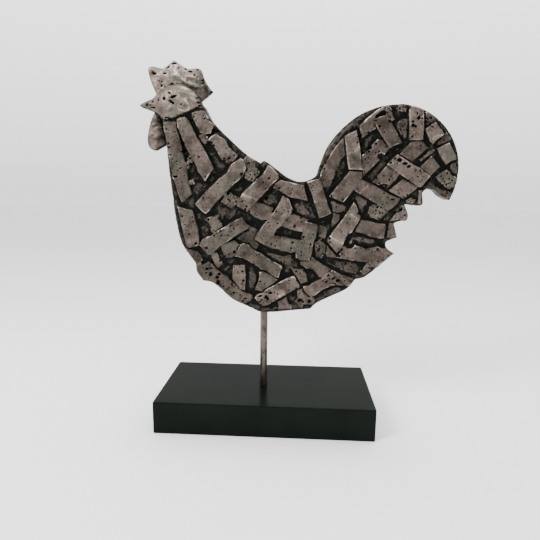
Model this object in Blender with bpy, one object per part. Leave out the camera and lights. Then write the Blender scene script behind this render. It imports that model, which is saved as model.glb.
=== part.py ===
"""Rooster figurine: one flat casting of crossed strips on a round rod in a rectangular block.

Metres, +Z up. The origin is the middle of the block's underside, +X runs towards the tail
and the front of the figure faces -Y. The figure is drawn in drawing units, one millimetre
each at FIGURE_HEIGHT. place() turns a point of the drawing into a point of the casting, whose
own origin is where the rod's axis meets its lowest level.
"""

from math import atan2, ceil, copysign, cos, pi, radians, sin

import bmesh
import bpy
from mathutils import Matrix, Vector

# Block
BASE_LENGTH = 0.220
BASE_DEPTH = 0.110
BASE_HEIGHT = 0.033
BASE_EDGE = 0.0008

# Rod
ROD_DIAMETER = 0.008
ROD_SHOWING = 0.082
ROD_IN_BASE = 0.024
ROD_IN_FIGURE = 0.030
ROD_X = -0.0035
ROD_SIDES = 24
FIT_GAP = 0.0003

# Figure
FIGURE_HEIGHT = 0.250
SLAB_THICKNESS = 0.020
SLAB_ROUNDING = 0.0045
COMB_THICKNESS = 0.0095
COMB_ROUNDING = 0.0032
WATTLE_THICKNESS = 0.012
WATTLE_ROUNDING = 0.0045
HEAD_THICKNESS = 0.030
BEAK_THICKNESS = 0.013
STRIP_ROOT = 0.005
STRIP_BEVEL = 0.0006
STRIP_FROM_EDGE = 0.0007
STRIP_STAGGER = 0.00001
CORNER_SHARE = 0.2
FRONT_RELIEF = (0.0019, 0.0029, 0.0040)
BACK_RELIEF = (0.0, 0.0016, 0.0026)

# Drawing: the figure as its front shows, in drawing units
DRAWN_HEIGHT = 250.0
DRAWN_BELLY = 115.0
DRAWN_ROD = -3.5
CURVE_STEP = 6.5

# The drawing was made on the plane of the strips' faces, as seen from a point before SIGHT.
# Edges lie behind that plane, so they spread about SIGHT by these factors.
SIGHT = (28.3, 240.5)
SLAB_SPREAD = 1.010
THIN_SPREAD = 1.017

# Meshing: how near points are one point, and how little two edges turn where they count as straight
ONE_POINT = 0.00005
NO_LENGTH = 0.00001
SOLVER_GRAIN = 0.000004
STRAIGHT = 0.02

UNIT = FIGURE_HEIGHT / DRAWN_HEIGHT
FIGURE_BOTTOM = BASE_HEIGHT + ROD_SHOWING

# The tail's round end: centre, radius, and where it starts and ends
TAIL_CENTRE = (121.5, 261.0)
TAIL_RADIUS = 61.6
TAIL_START = -27.2
TAIL_END = 86.5

# Each stretch is a smooth curve through its points, and stretches meet at corners
BREAST = ((-105, 313), (-100.3, 283), (-98.4, 260), (-95.5, 235), (-92.5, 210), (-86.3, 185.5), (-73, 166))
BREAST_TIP = ((-73, 166), (-72.2, 158), (-66, 148.3))
BELLY_FRONT = ((-66, 148.3), (-57, 147), (-50, 142.5), (-36, 130), (-20, 122.5), (-8.5, 117.2))
BELLY_UNDER = ((-8.5, 117.2), (1, 116.3), (25, 119), (45, 121.2))
BELLY_BACK = ((45, 121.2), (50.5, 127), (65, 134.7), (82, 143.8), (89.5, 153))
RUMP = ((89.5, 153), (98.8, 155.8), (126.7, 180.2))
RUMP_HOLLOW = ((126.7, 180.2), (119, 185.7), (118, 191.3), (128.7, 196))
UNDER_TAIL = ((128.7, 196), (124.7, 210))
LOBES = ((124.7, 210), (131, 212.3), (137, 212.8), (137.8, 219), (133.8, 228.5))
STUB = ((133.8, 228.5), (150.5, 228.1), (150.2, 239.5))
TAIL_HOLLOW = ((150.2, 239.5), (154, 243.5), (162, 242.5), (169, 236.5), (176.3, 232.8))
TAIL_TOP = ((125.2, 322.5), (105.9, 320), (87.2, 312.6), (70.5, 299.6), (58, 284), (50, 264.2))
SADDLE = ((50, 264.2), (46.6, 254.9), (33, 249.4), (20, 253.2), (8.5, 261.3), (-3.5, 269.2), (-7.3, 267.1))
NAPE = ((-7.3, 267.1), (-21.3, 275.3), (-38.3, 290), (-55, 306.5), (-63, 321))
INSIDE_HEAD = ((-63, 321), (-80, 327), (-105, 313))
BODY_OUTLINE = (BREAST, BREAST_TIP, BELLY_FRONT, BELLY_UNDER, BELLY_BACK, RUMP, RUMP_HOLLOW, UNDER_TAIL,
                LOBES, STUB, TAIL_HOLLOW)
BACK_OUTLINE = (TAIL_TOP, SADDLE, NAPE, INSIDE_HEAD)

COMB_FRONT = ((-110, 331.5), (-115, 344), (-117.3, 354.5), (-114, 357.4), (-102.5, 355.2))
COMB_POINT = ((-102.5, 355.2), (-95, 360.5), (-91.8, 362.9), (-87.5, 360.2), (-78, 354.8))
COMB_TOP = ((-78, 354.8), (-70, 355.5), (-65.2, 354.3))
COMB_BACK = ((-65.2, 354.3), (-62, 345), (-57, 337.3), (-53.8, 334))
COMB_FOOT = ((-53.8, 334), (-63.3, 326.3), (-74, 320), (-100, 322), (-110, 331.5))
COMB_OUTLINE = (COMB_FRONT, COMB_POINT, COMB_TOP, COMB_BACK, COMB_FOOT)

WATTLE_LOBE = (
    (-97, 286), (-106, 281), (-113, 278.2), (-119.3, 283), (-119.3, 295), (-112.7, 313.5), (-104, 318)
)
WATTLE_OUTLINE = (WATTLE_LOBE, ((-104, 318), (-97, 286)))

HEAD_CENTRE = (-88.0, 324.5)
HEAD_SPAN = (49.0, 34.0)
HEAD_FULLNESS = 0.6
HEAD_SIDES = 28
BEAK_ROOT = (-104.0, 320.8)
BEAK_TIP = (-126.6, 321.4)
BEAK_ROOT_SPAN = 19.0
BEAK_TIP_SPAN = 2.4
BEAK_SIDES = 14

# Strips of the front: start, end, width and layer, where a higher layer crosses over a lower one
LOW, MIDDLE, HIGH = range(3)
NECK_STRIPS = (
    ((-95.5, 307), (-81.5, 231), 14.5, MIDDLE),
    ((-85.5, 309.5), (-61, 253), 13.7, HIGH),
    ((-69, 315.5), (-58, 297), 13.5, MIDDLE),
    ((-53.5, 292), (-41.5, 272.5), 13.5, MIDDLE),
    ((-38, 274), (-29.5, 271), 7, LOW),
    ((-68, 221), (-28, 265), 14.3, HIGH),
    ((-25, 260), (-14, 267), 13, LOW),
)
BREAST_STRIPS = (
    ((4, 256), (-26, 222.5), 14.5, HIGH),
    ((-84, 223), (-75, 183), 15, MIDDLE),
    ((-62, 184), (-21, 208.5), 15, HIGH),
    ((-58, 214), (-49, 200), 14, LOW),
    ((-41.5, 182), (-39, 172.5), 9, LOW),
    ((-56.5, 178), (-48, 162.5), 9, LOW),
    ((-70.5, 160), (-50, 152), 17, MIDDLE),
    ((-53, 153), (-17, 131.5), 13.5, MIDDLE),
)
TAIL_STRIPS = (
    ((70.5, 287), (57, 245), 12.5, LOW),
    ((79.5, 296), (85.2, 260), 13, HIGH),
    ((89, 296), (112, 317), 12, MIDDLE),
    ((107, 311), (122, 285), 14, HIGH),
    ((95, 261), (110, 283), 16, MIDDLE),
    ((88, 258), (66.5, 233), 14, HIGH),
    ((87, 247), (124, 228), 14.5, MIDDLE),
    ((104, 248), (121, 262), 14, LOW),
    ((119.5, 271.5), (151.5, 251), 15, HIGH),
    ((133, 271), (148, 285), 14, LOW),
    ((139.5, 319), (141.5, 290), 14.5, MIDDLE),
    ((153.5, 301.5), (162.5, 289.5), 13, HIGH),
    ((166.5, 284.5), (176, 270.5), 12.5, MIDDLE),
    ((163.5, 253.5), (181, 252), 16, MIDDLE),
    ((152, 269.4), (161.9, 260.6), 14, LOW),
    ((123, 300), (133, 300), 11, LOW),
    ((126.5, 237), (139, 249.5), 14.5, LOW),
)
BODY_STRIPS = (
    ((9, 245), (38.5, 238), 13.5, MIDDLE),
    ((46.5, 251), (56.5, 217.5), 13, HIGH),
    ((-12, 222), (3, 217.5), 12.5, LOW),
    ((18.5, 230), (-8, 188.5), 14.5, HIGH),
    ((19, 211), (37.5, 205.5), 12.5, LOW),
    ((1, 190.5), (31.5, 185.5), 13, MIDDLE),
    ((44, 209.5), (38, 171.5), 13.5, HIGH),
    ((40, 170), (60.5, 158.5), 13, MIDDLE),
    ((86, 224), (67, 185), 15, HIGH),
    ((89.5, 206.5), (117, 202), 13.5, MIDDLE),
    ((121.8, 210), (125, 196), 7, LOW),
    ((68, 219), (66.5, 203), 7.5, LOW),
    ((103, 224), (115, 217), 12, LOW),
    ((124, 214), (136, 216), 8, LOW),
    ((149, 243), (149, 229), 4, LOW),
)
BELLY_STRIPS = (
    ((-29.5, 180), (13.5, 159.5), 14.5, HIGH),
    ((-29, 165.5), (-28.5, 141), 13.5, MIDDLE),
    ((2, 156), (-6, 140), 17, LOW),
    ((-9, 129), (30, 148), 14.5, HIGH),
    ((43.5, 138.5), (68, 156), 13.5, HIGH),
    ((64, 153), (84, 150), 12, MIDDLE),
    ((63, 179), (118, 178), 14.5, MIDDLE),
    ((14, 120), (19.5, 131), 11, LOW),
    ((34, 136), (44, 126), 14, LOW),
    ((27, 161), (38.5, 149), 11.5, LOW),
)
STRIPS = NECK_STRIPS + BREAST_STRIPS + TAIL_STRIPS + BODY_STRIPS + BELLY_STRIPS

# Finishes: colour, roughness and metallic value
METAL = ((0.23, 0.21, 0.19, 1.0), 0.42, 0.9)
BLACK_PAINT = ((0.012, 0.012, 0.013, 1.0), 0.32, 0.0)


def place(point, spread=1.0):
    """The casting's own (x, z) of a drawn point, spread about the point before the eye."""
    u, v = (sight + (value - sight) * spread for value, sight in zip(point, SIGHT))
    return (u - DRAWN_ROD) * UNIT, (v - DRAWN_BELLY) * UNIT


def smooth_stretch(points):
    """Points about CURVE_STEP apart on a curve through the given ones, without the last one."""
    if len(points) == 2:
        return [Vector(points[0])]
    knots = [Vector(point) for point in points]
    knots = [2 * knots[0] - knots[1]] + knots + [2 * knots[-1] - knots[-2]]
    found = []
    for before, start, end, after in zip(knots, knots[1:], knots[2:], knots[3:]):
        steps = max(1, ceil((end - start).length / CURVE_STEP))
        # The slopes take the knots' spacing into account, so uneven knots don't make loops
        run, lead, trail = (end - start).length, (start - before).length, (after - end).length
        slope_in = (end - before) * run / (run + lead)
        slope_out = (after - start) * run / (run + trail)
        for index in range(steps):
            t = index / steps
            found.append(
                start * (2 * t**3 - 3 * t**2 + 1)
                + slope_in * (t**3 - 2 * t**2 + t)
                + end * (3 * t**2 - 2 * t**3)
                + slope_out * (t**3 - t**2)
            )
    return found


def tail_arc():
    """The tail's round end, from the lower tip up to its top, without the top's last point."""
    steps = ceil(radians(TAIL_END - TAIL_START) * TAIL_RADIUS / CURVE_STEP)
    turns = [radians(TAIL_START + (TAIL_END - TAIL_START) * index / steps) for index in range(steps)]
    return [Vector(TAIL_CENTRE) + TAIL_RADIUS * Vector((cos(turn), sin(turn))) for turn in turns]


def outline_of(stretches):
    return [point for stretch in stretches for point in smooth_stretch(stretch)]


def placed(outline, spread):
    return [Vector(place(point, spread)) for point in outline]


def body_outline():
    return placed(outline_of(BODY_OUTLINE) + tail_arc() + outline_of(BACK_OUTLINE), SLAB_SPREAD)


def signed_area(points):
    return sum(a.x * b.y - b.x * a.y for a, b in zip(points, points[1:] + points[:1])) / 2


def meeting_point(points, first, second, distance):
    """Where two edges' lines meet once both are moved sideways. An edge runs from its point to the next."""
    lines = []
    for edge in (first, second):
        start = points[edge]
        along = (points[(edge + 1) % len(points)] - start).normalized()
        lines.append((start + distance * Vector((-along.y, along.x)), along))
    (start, along), (other, beside) = lines
    crossing = along.x * beside.y - along.y * beside.x
    if abs(crossing) < STRAIGHT:
        return (other + start + along * (other - start).dot(along)) / 2
    apart = other - start
    return start + along * (apart.x * beside.y - apart.y * beside.x) / crossing


def inset(points, distance):
    """The closed outline moved inwards. Where an edge would turn over, its two ends come together."""
    sideways = distance if signed_area(points) > 0 else -distance
    count = len(points)
    kept = list(range(count))
    while True:
        pairs = zip(kept[-1:] + kept[:-1], kept)
        corners = {edge: meeting_point(points, before, edge, sideways) for before, edge in pairs}
        runs = {
            edge: (corners[after] - corners[edge]).dot(points[(edge + 1) % count] - points[edge])
            for edge, after in zip(kept, kept[1:] + kept[:1])
        }
        worst = min(kept, key=runs.get)
        if runs[worst] >= 0:
            break
        kept.remove(worst)
    moved = []
    nearest = corners[kept[0]]
    for index in reversed(range(count)):
        nearest = corners.get(index, nearest)
        moved.append(nearest)
    return moved[::-1]


def cut_corners(points):
    """The closed outline with each corner cut off, at a share of both edges that meet there."""
    cut = []
    for index, point in enumerate(points):
        cut.append(point.lerp(points[index - 1], CORNER_SHARE))
        cut.append(point.lerp(points[(index + 1) % len(points)], CORNER_SHARE))
    return cut


def mesh_object(name, shape):
    """Ends a bmesh: faces out, doubles joined, and the mesh on a new object of this name."""
    bmesh.ops.remove_doubles(shape, verts=shape.verts, dist=ONE_POINT)
    bmesh.ops.dissolve_degenerate(shape, edges=shape.edges, dist=NO_LENGTH)
    bmesh.ops.recalc_face_normals(shape, faces=shape.faces)
    mesh = bpy.data.meshes.new(name)
    shape.to_mesh(mesh)
    shape.free()
    made = bpy.data.objects.new(name, mesh)
    bpy.context.scene.collection.objects.link(made)
    return made


def loft(shape, rings):
    """Closed shell through rings of (x, z) points at their own y, with flat ends."""
    lines = [[shape.verts.new((point.x, y, point.y)) for point in ring] for y, ring in rings]
    count = len(lines[0])
    for lower, upper in zip(lines, lines[1:]):
        for index in range(count):
            shape.faces.new((lower[index - 1], lower[index], upper[index], upper[index - 1]))
    shape.faces.new(lines[0])
    shape.faces.new(reversed(lines[-1]))


def rounded_slab(name, outline, thickness, rounding, trim=0.0):
    """A plate of this outline less a trim, its long edges rounded over in two facets."""
    flat = thickness / 2 - rounding
    turns = (0, pi / 4, pi / 2)
    turned = [(trim + rounding * (1 - cos(turn)), flat + rounding * sin(turn)) for turn in turns]
    front = [(-y, inset(outline, depth)) for depth, y in reversed(turned)]
    back = [(y, inset(outline, depth)) for depth, y in turned]
    shape = bmesh.new()
    loft(shape, front + back)
    return mesh_object(name, shape)


def strip_corners(start, end, width):
    along = (end - start).normalized() * width / 2
    across = Vector((-along.y, along.x))
    return [start + across, end + across, end - across, start - across]


def combine(target, others, operation):
    """Applies one Boolean with all the others at once, joins doubled points and removes the others."""
    group = bpy.data.collections.new(operation.title())
    for other in others:
        group.objects.link(other)
    step = target.modifiers.new(operation.title(), "BOOLEAN")
    step.operation = operation
    step.solver = "EXACT"
    step.operand_type = "COLLECTION"
    step.collection = group
    graph = bpy.context.evaluated_depsgraph_get()
    mesh = bpy.data.meshes.new_from_object(target.evaluated_get(graph))
    target.modifiers.clear()
    target.data = mesh
    shape = bmesh.new()
    shape.from_mesh(mesh)
    bmesh.ops.remove_doubles(shape, verts=shape.verts, dist=SOLVER_GRAIN)
    bmesh.ops.dissolve_degenerate(shape, edges=shape.edges, dist=SOLVER_GRAIN)
    shape.to_mesh(mesh)
    shape.free()
    for other in others:
        bpy.data.objects.remove(other)
    bpy.data.collections.remove(group)


def strip_object(strip, relief, side, lift):
    """One strip as a flat bar with bevelled edges, standing proud of the slab on this side."""
    start, end, width, layer = strip
    corners = strip_corners(Vector(place(start)), Vector(place(end)), width * UNIT)
    top = SLAB_THICKNESS / 2 + relief[layer] + lift
    root = SLAB_THICKNESS / 2 - STRIP_ROOT - lift
    levels = ((root, 0.0), (top - STRIP_BEVEL, 0.0), (top, STRIP_BEVEL))
    shape = bmesh.new()
    loft(shape, [(side * y, inset(corners, depth)) for y, depth in levels])
    return mesh_object("strip", shape)


def face_strips(strips, relief, side, outline):
    """The strips of one face, each cut off just inside the outline.

    Each is a hair taller than the last, so no two ends lie in one plane.
    """
    thickness = SLAB_THICKNESS + 2 * max(relief) + 4 * STRIP_BEVEL
    envelope = rounded_slab("envelope", cut_corners(outline), thickness, SLAB_ROUNDING, STRIP_FROM_EDGE)
    bars = []
    for index, strip in enumerate(strips):
        bar = strip_object(strip, relief, side, index * STRIP_STAGGER)
        combine(bar, [envelope.copy()], "INTERSECT")
        bars.append(bar)
    bpy.data.objects.remove(envelope)
    return bars


def pebble(name, centre, span):
    """An ellipsoid whose sides are fuller than a true one's, so its edge stands clear of the neck."""
    shape = bmesh.new()
    bmesh.ops.create_uvsphere(shape, u_segments=HEAD_SIDES, v_segments=HEAD_SIDES // 2, radius=1.0)
    for vertex in shape.verts:
        vertex.co.y = copysign(abs(vertex.co.y) ** HEAD_FULLNESS, vertex.co.y)
    bmesh.ops.scale(shape, vec=[size / 2 for size in span], verts=shape.verts)
    bmesh.ops.translate(shape, vec=centre, verts=shape.verts)
    return mesh_object(name, shape)


def beak_object():
    """A blunt cone from inside the head to the tip, flattened sideways."""
    root = Vector(place(BEAK_ROOT, THIN_SPREAD))
    tip = Vector(place(BEAK_TIP, THIN_SPREAD))
    run = tip - root
    shape = bmesh.new()
    bmesh.ops.create_cone(
        shape,
        cap_ends=True,
        segments=BEAK_SIDES,
        radius1=BEAK_ROOT_SPAN * UNIT / 2,
        radius2=BEAK_TIP_SPAN * UNIT / 2,
        depth=run.length,
    )
    flatten = BEAK_THICKNESS / (BEAK_ROOT_SPAN * UNIT)
    bmesh.ops.rotate(shape, matrix=Matrix.Rotation(pi / 2, 3, "Y"), verts=shape.verts)
    bmesh.ops.scale(shape, vec=(1, flatten, 1), verts=shape.verts)
    bmesh.ops.rotate(shape, matrix=Matrix.Rotation(-atan2(run.y, run.x), 3, "Y"), verts=shape.verts)
    middle = (root + tip) / 2
    bmesh.ops.translate(shape, vec=(middle.x, 0, middle.y), verts=shape.verts)
    return mesh_object("beak", shape)


def upright_cylinder(name, diameter, bottom, top):
    """A round bar about its own upright axis between two heights."""
    shape = bmesh.new()
    bmesh.ops.create_cone(
        shape,
        cap_ends=True,
        segments=ROD_SIDES,
        radius1=diameter / 2,
        radius2=diameter / 2,
        depth=top - bottom,
    )
    bmesh.ops.translate(shape, vec=(0, 0, (top + bottom) / 2), verts=shape.verts)
    return mesh_object(name, shape)


def head_parts():
    """Head, beak, comb and wattle."""
    x, z = place(HEAD_CENTRE, THIN_SPREAD)
    head = pebble("head", (x, 0, z), (HEAD_SPAN[0] * UNIT, HEAD_THICKNESS, HEAD_SPAN[1] * UNIT))
    comb = placed(outline_of(COMB_OUTLINE), THIN_SPREAD)
    wattle = placed(outline_of(WATTLE_OUTLINE), THIN_SPREAD)
    return [
        head,
        beak_object(),
        rounded_slab("comb", comb, COMB_THICKNESS, COMB_ROUNDING),
        rounded_slab("wattle", wattle, WATTLE_THICKNESS, WATTLE_ROUNDING),
    ]


def rooster_object():
    """The casting: a slab of the body's outline with strips on both faces, the head, and the rod's hole."""
    outline = body_outline()
    rooster = rounded_slab("rooster", outline, SLAB_THICKNESS, SLAB_ROUNDING)
    front = face_strips(STRIPS, FRONT_RELIEF, -1, outline)
    back = face_strips([strip for strip in STRIPS if strip[3] != LOW], BACK_RELIEF, 1, outline)
    combine(rooster, head_parts() + front + back, "UNION")
    hole = upright_cylinder("hole", ROD_DIAMETER + 2 * FIT_GAP, -ROD_IN_FIGURE, ROD_IN_FIGURE + FIT_GAP)
    combine(rooster, [hole], "DIFFERENCE")
    rooster.location = (ROD_X, 0, FIGURE_BOTTOM)
    return rooster


def base_object():
    """The block, its edges eased, with a blind hole for the rod."""
    shape = bmesh.new()
    bmesh.ops.create_cube(shape, size=1.0)
    bmesh.ops.scale(shape, vec=(BASE_LENGTH, BASE_DEPTH, BASE_HEIGHT), verts=shape.verts)
    bmesh.ops.translate(shape, vec=(0, 0, BASE_HEIGHT / 2), verts=shape.verts)
    bmesh.ops.bevel(shape, geom=shape.edges, offset=BASE_EDGE, segments=2, profile=0.5, affect="EDGES")
    base = mesh_object("base", shape)
    hole_bottom = BASE_HEIGHT - ROD_IN_BASE - FIT_GAP
    hole = upright_cylinder("hole", ROD_DIAMETER + 2 * FIT_GAP, hole_bottom, BASE_HEIGHT + ROD_IN_BASE)
    hole.location.x = ROD_X
    combine(base, [hole], "DIFFERENCE")
    return base


def post_object():
    """The rod, from the bottom of the block's hole to the top of the figure's."""
    post = upright_cylinder("post", ROD_DIAMETER, BASE_HEIGHT - ROD_IN_BASE, FIGURE_BOTTOM + ROD_IN_FIGURE)
    post.location.x = ROD_X
    return post


def finish_material(name, finish):
    colour, roughness, metallic = finish
    material = bpy.data.materials.new(name)
    material.use_nodes = True
    shader = material.node_tree.nodes["Principled BSDF"]
    shader.inputs["Base Color"].default_value = colour
    shader.inputs["Roughness"].default_value = roughness
    shader.inputs["Metallic"].default_value = metallic
    material.diffuse_color = colour
    return material


def dress(piece, material):
    """Gives the piece its material and smooth shading on its round faces."""
    piece.data.materials.clear()
    piece.data.materials.append(material)
    piece.data.shade_smooth()
    piece.data.set_sharp_from_angle(angle=radians(35))


def main():
    for old in list(bpy.data.objects):
        bpy.data.objects.remove(old)
    metal = finish_material("antiqued_metal", METAL)
    paint = finish_material("black_paint", BLACK_PAINT)
    dress(rooster_object(), metal)
    dress(post_object(), metal)
    dress(base_object(), paint)


main()
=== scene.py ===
"""Looks of the rooster figurine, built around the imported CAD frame.

The casting is one relief surface. Both faces are height fields over one fine grid of the
upright plane: a slab with a rough ground, and strips laid over it from the lowest to the
highest. A row of rim faces joins the two. The rod and the block are surfaces of two
parameters. Lengths are millimetres until a mesh is made, and metres from there on.
"""

from __future__ import annotations

import logging
from dataclasses import dataclass, field
from enum import Enum

import bpy
import numpy as np
from mathutils import Matrix, Vector

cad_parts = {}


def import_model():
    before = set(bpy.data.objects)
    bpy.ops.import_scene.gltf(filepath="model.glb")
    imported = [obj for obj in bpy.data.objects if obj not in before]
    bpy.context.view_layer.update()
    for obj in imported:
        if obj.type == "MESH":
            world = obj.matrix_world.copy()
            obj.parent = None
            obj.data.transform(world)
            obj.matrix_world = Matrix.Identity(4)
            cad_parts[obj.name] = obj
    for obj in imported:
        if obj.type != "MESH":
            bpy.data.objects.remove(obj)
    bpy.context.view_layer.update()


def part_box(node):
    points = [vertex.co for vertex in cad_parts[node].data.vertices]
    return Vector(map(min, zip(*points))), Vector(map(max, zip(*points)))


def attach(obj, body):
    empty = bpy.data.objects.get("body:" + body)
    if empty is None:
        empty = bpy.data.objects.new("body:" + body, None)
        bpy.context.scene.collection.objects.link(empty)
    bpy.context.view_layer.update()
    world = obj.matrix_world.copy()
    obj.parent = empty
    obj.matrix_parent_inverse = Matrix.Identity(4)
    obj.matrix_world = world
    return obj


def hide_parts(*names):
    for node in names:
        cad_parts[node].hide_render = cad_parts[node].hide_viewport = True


LOG = logging.getLogger("rooster")
MM = 0.001
LATTICE = 128
NOISE_GAIN = 1.5
TINY = 1e-6
ROD_GAP = 0.3

# What a node's input may be given: a socket to link, a number or a linear colour
Source = bpy.types.NodeSocket | float | tuple


class Layer(Enum):
    """How high a strip's flat top lies over the middle plane, front and back, in mm.

    A lobe is a scrap of metal that lies deeper than the strips and only shows between them.
    """

    LOBE = (10.5, 10.2)
    LOW = (11.7, 10.6)
    MIDDLE = (12.8, 11.5)
    HIGH = (13.9, 12.5)

    def top(self, front: bool) -> float:
        """Height of the strip's top.

        Args:
            front: whether the face is the front one.

        Returns:
            The height over the middle plane in mm.
        """
        return self.value[0] if front else self.value[1]


@dataclass(frozen=True)
class Strip:
    """One strip or crumb of the relief.

    Args:
        layer: how high it lies.
        outline: its corners in the upright plane, mm.
        crumbly: 0 for a clean strip, 1 for a torn and pitted one.
        tone: lighter above 0, darker below.
        bare: how much of its patina is rubbed off, from 0 to 1.
    """

    layer: Layer
    outline: np.ndarray
    crumbly: float = 0.0
    tone: float = 0.0
    bare: float = 1.0


def path(*numbers: float) -> np.ndarray:
    """Turns numbers into points.

    Args:
        numbers: x, z, x, z and so on, mm.

    Returns:
        An array of one row (x, z) a point.
    """
    return np.array(numbers, float).reshape(-1, 2)


def strips_of(layer: Layer, *rows: tuple) -> tuple[Strip, ...]:
    """Makes the strips of one layer.

    Args:
        layer: how high they lie.
        rows: for each strip the numbers of its outline, then its crumbly, tone and bare as far
            as they differ from Strip's own.

    Returns:
        The strips in the same order.
    """
    return tuple(Strip(layer, path(*numbers), *values) for numbers, *values in rows)


# Scraps of rubbed metal that show between the strips
LOBES = (
    path(27, 229, 33, 228, 38, 224.5, 42.5, 218, 36, 216.5, 31, 219, 27.5, 224),
    path(62, 230, 65, 233, 72, 229, 78, 226, 77, 221, 70, 219, 65, 220),
    path(-2, 175.5, 0.5, 178.3, 8, 177, 15, 175, 18, 173.5, 16.5, 167, 12, 166.5),
    path(17, 166, 18, 175, 24, 177, 26, 170, 23, 166),
    path(88, 194, 92, 196, 100, 194.5, 107, 194, 107.5, 191, 103, 189, 98, 190.5, 92, 191),
    path(86.5, 235.5, 90, 237, 100, 231, 98, 229, 95, 226.5, 92, 222.5, 90, 224, 88, 231),
    path(70, 170, 85, 171, 91, 168, 93, 163, 90, 158.5, 80, 159.5, 73, 163, 70, 166),
    path(49, 207, 53, 207, 58, 205, 60, 200, 58, 193, 50, 191),
    path(57, 139, 65, 142, 72, 145, 76, 142, 70, 138, 62, 134.5),
)

# Scraps that lie deep in the dark ground, where less patina is rubbed off
DIM_LOBES = (
    path(-5, 236, 0, 240.5, 5, 239, 8, 234, 6, 228, 1, 226, -4, 229),
    path(96, 256, 100, 260, 108, 268, 113, 270, 115, 267.5, 109, 260, 103, 252, 100, 251),
    path(152.5, 245, 160, 245, 161, 249, 156, 251),
    path(128.5, 254.5, 131.5, 255, 134, 252.5, 131, 250),
    path(92, 290, 95, 297, 100, 299, 101, 294, 96, 288),
    path(-19.5, 158, -15, 159.5, -11, 156, -10.5, 148, -13, 141, -18, 143, -20, 150),
)

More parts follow.
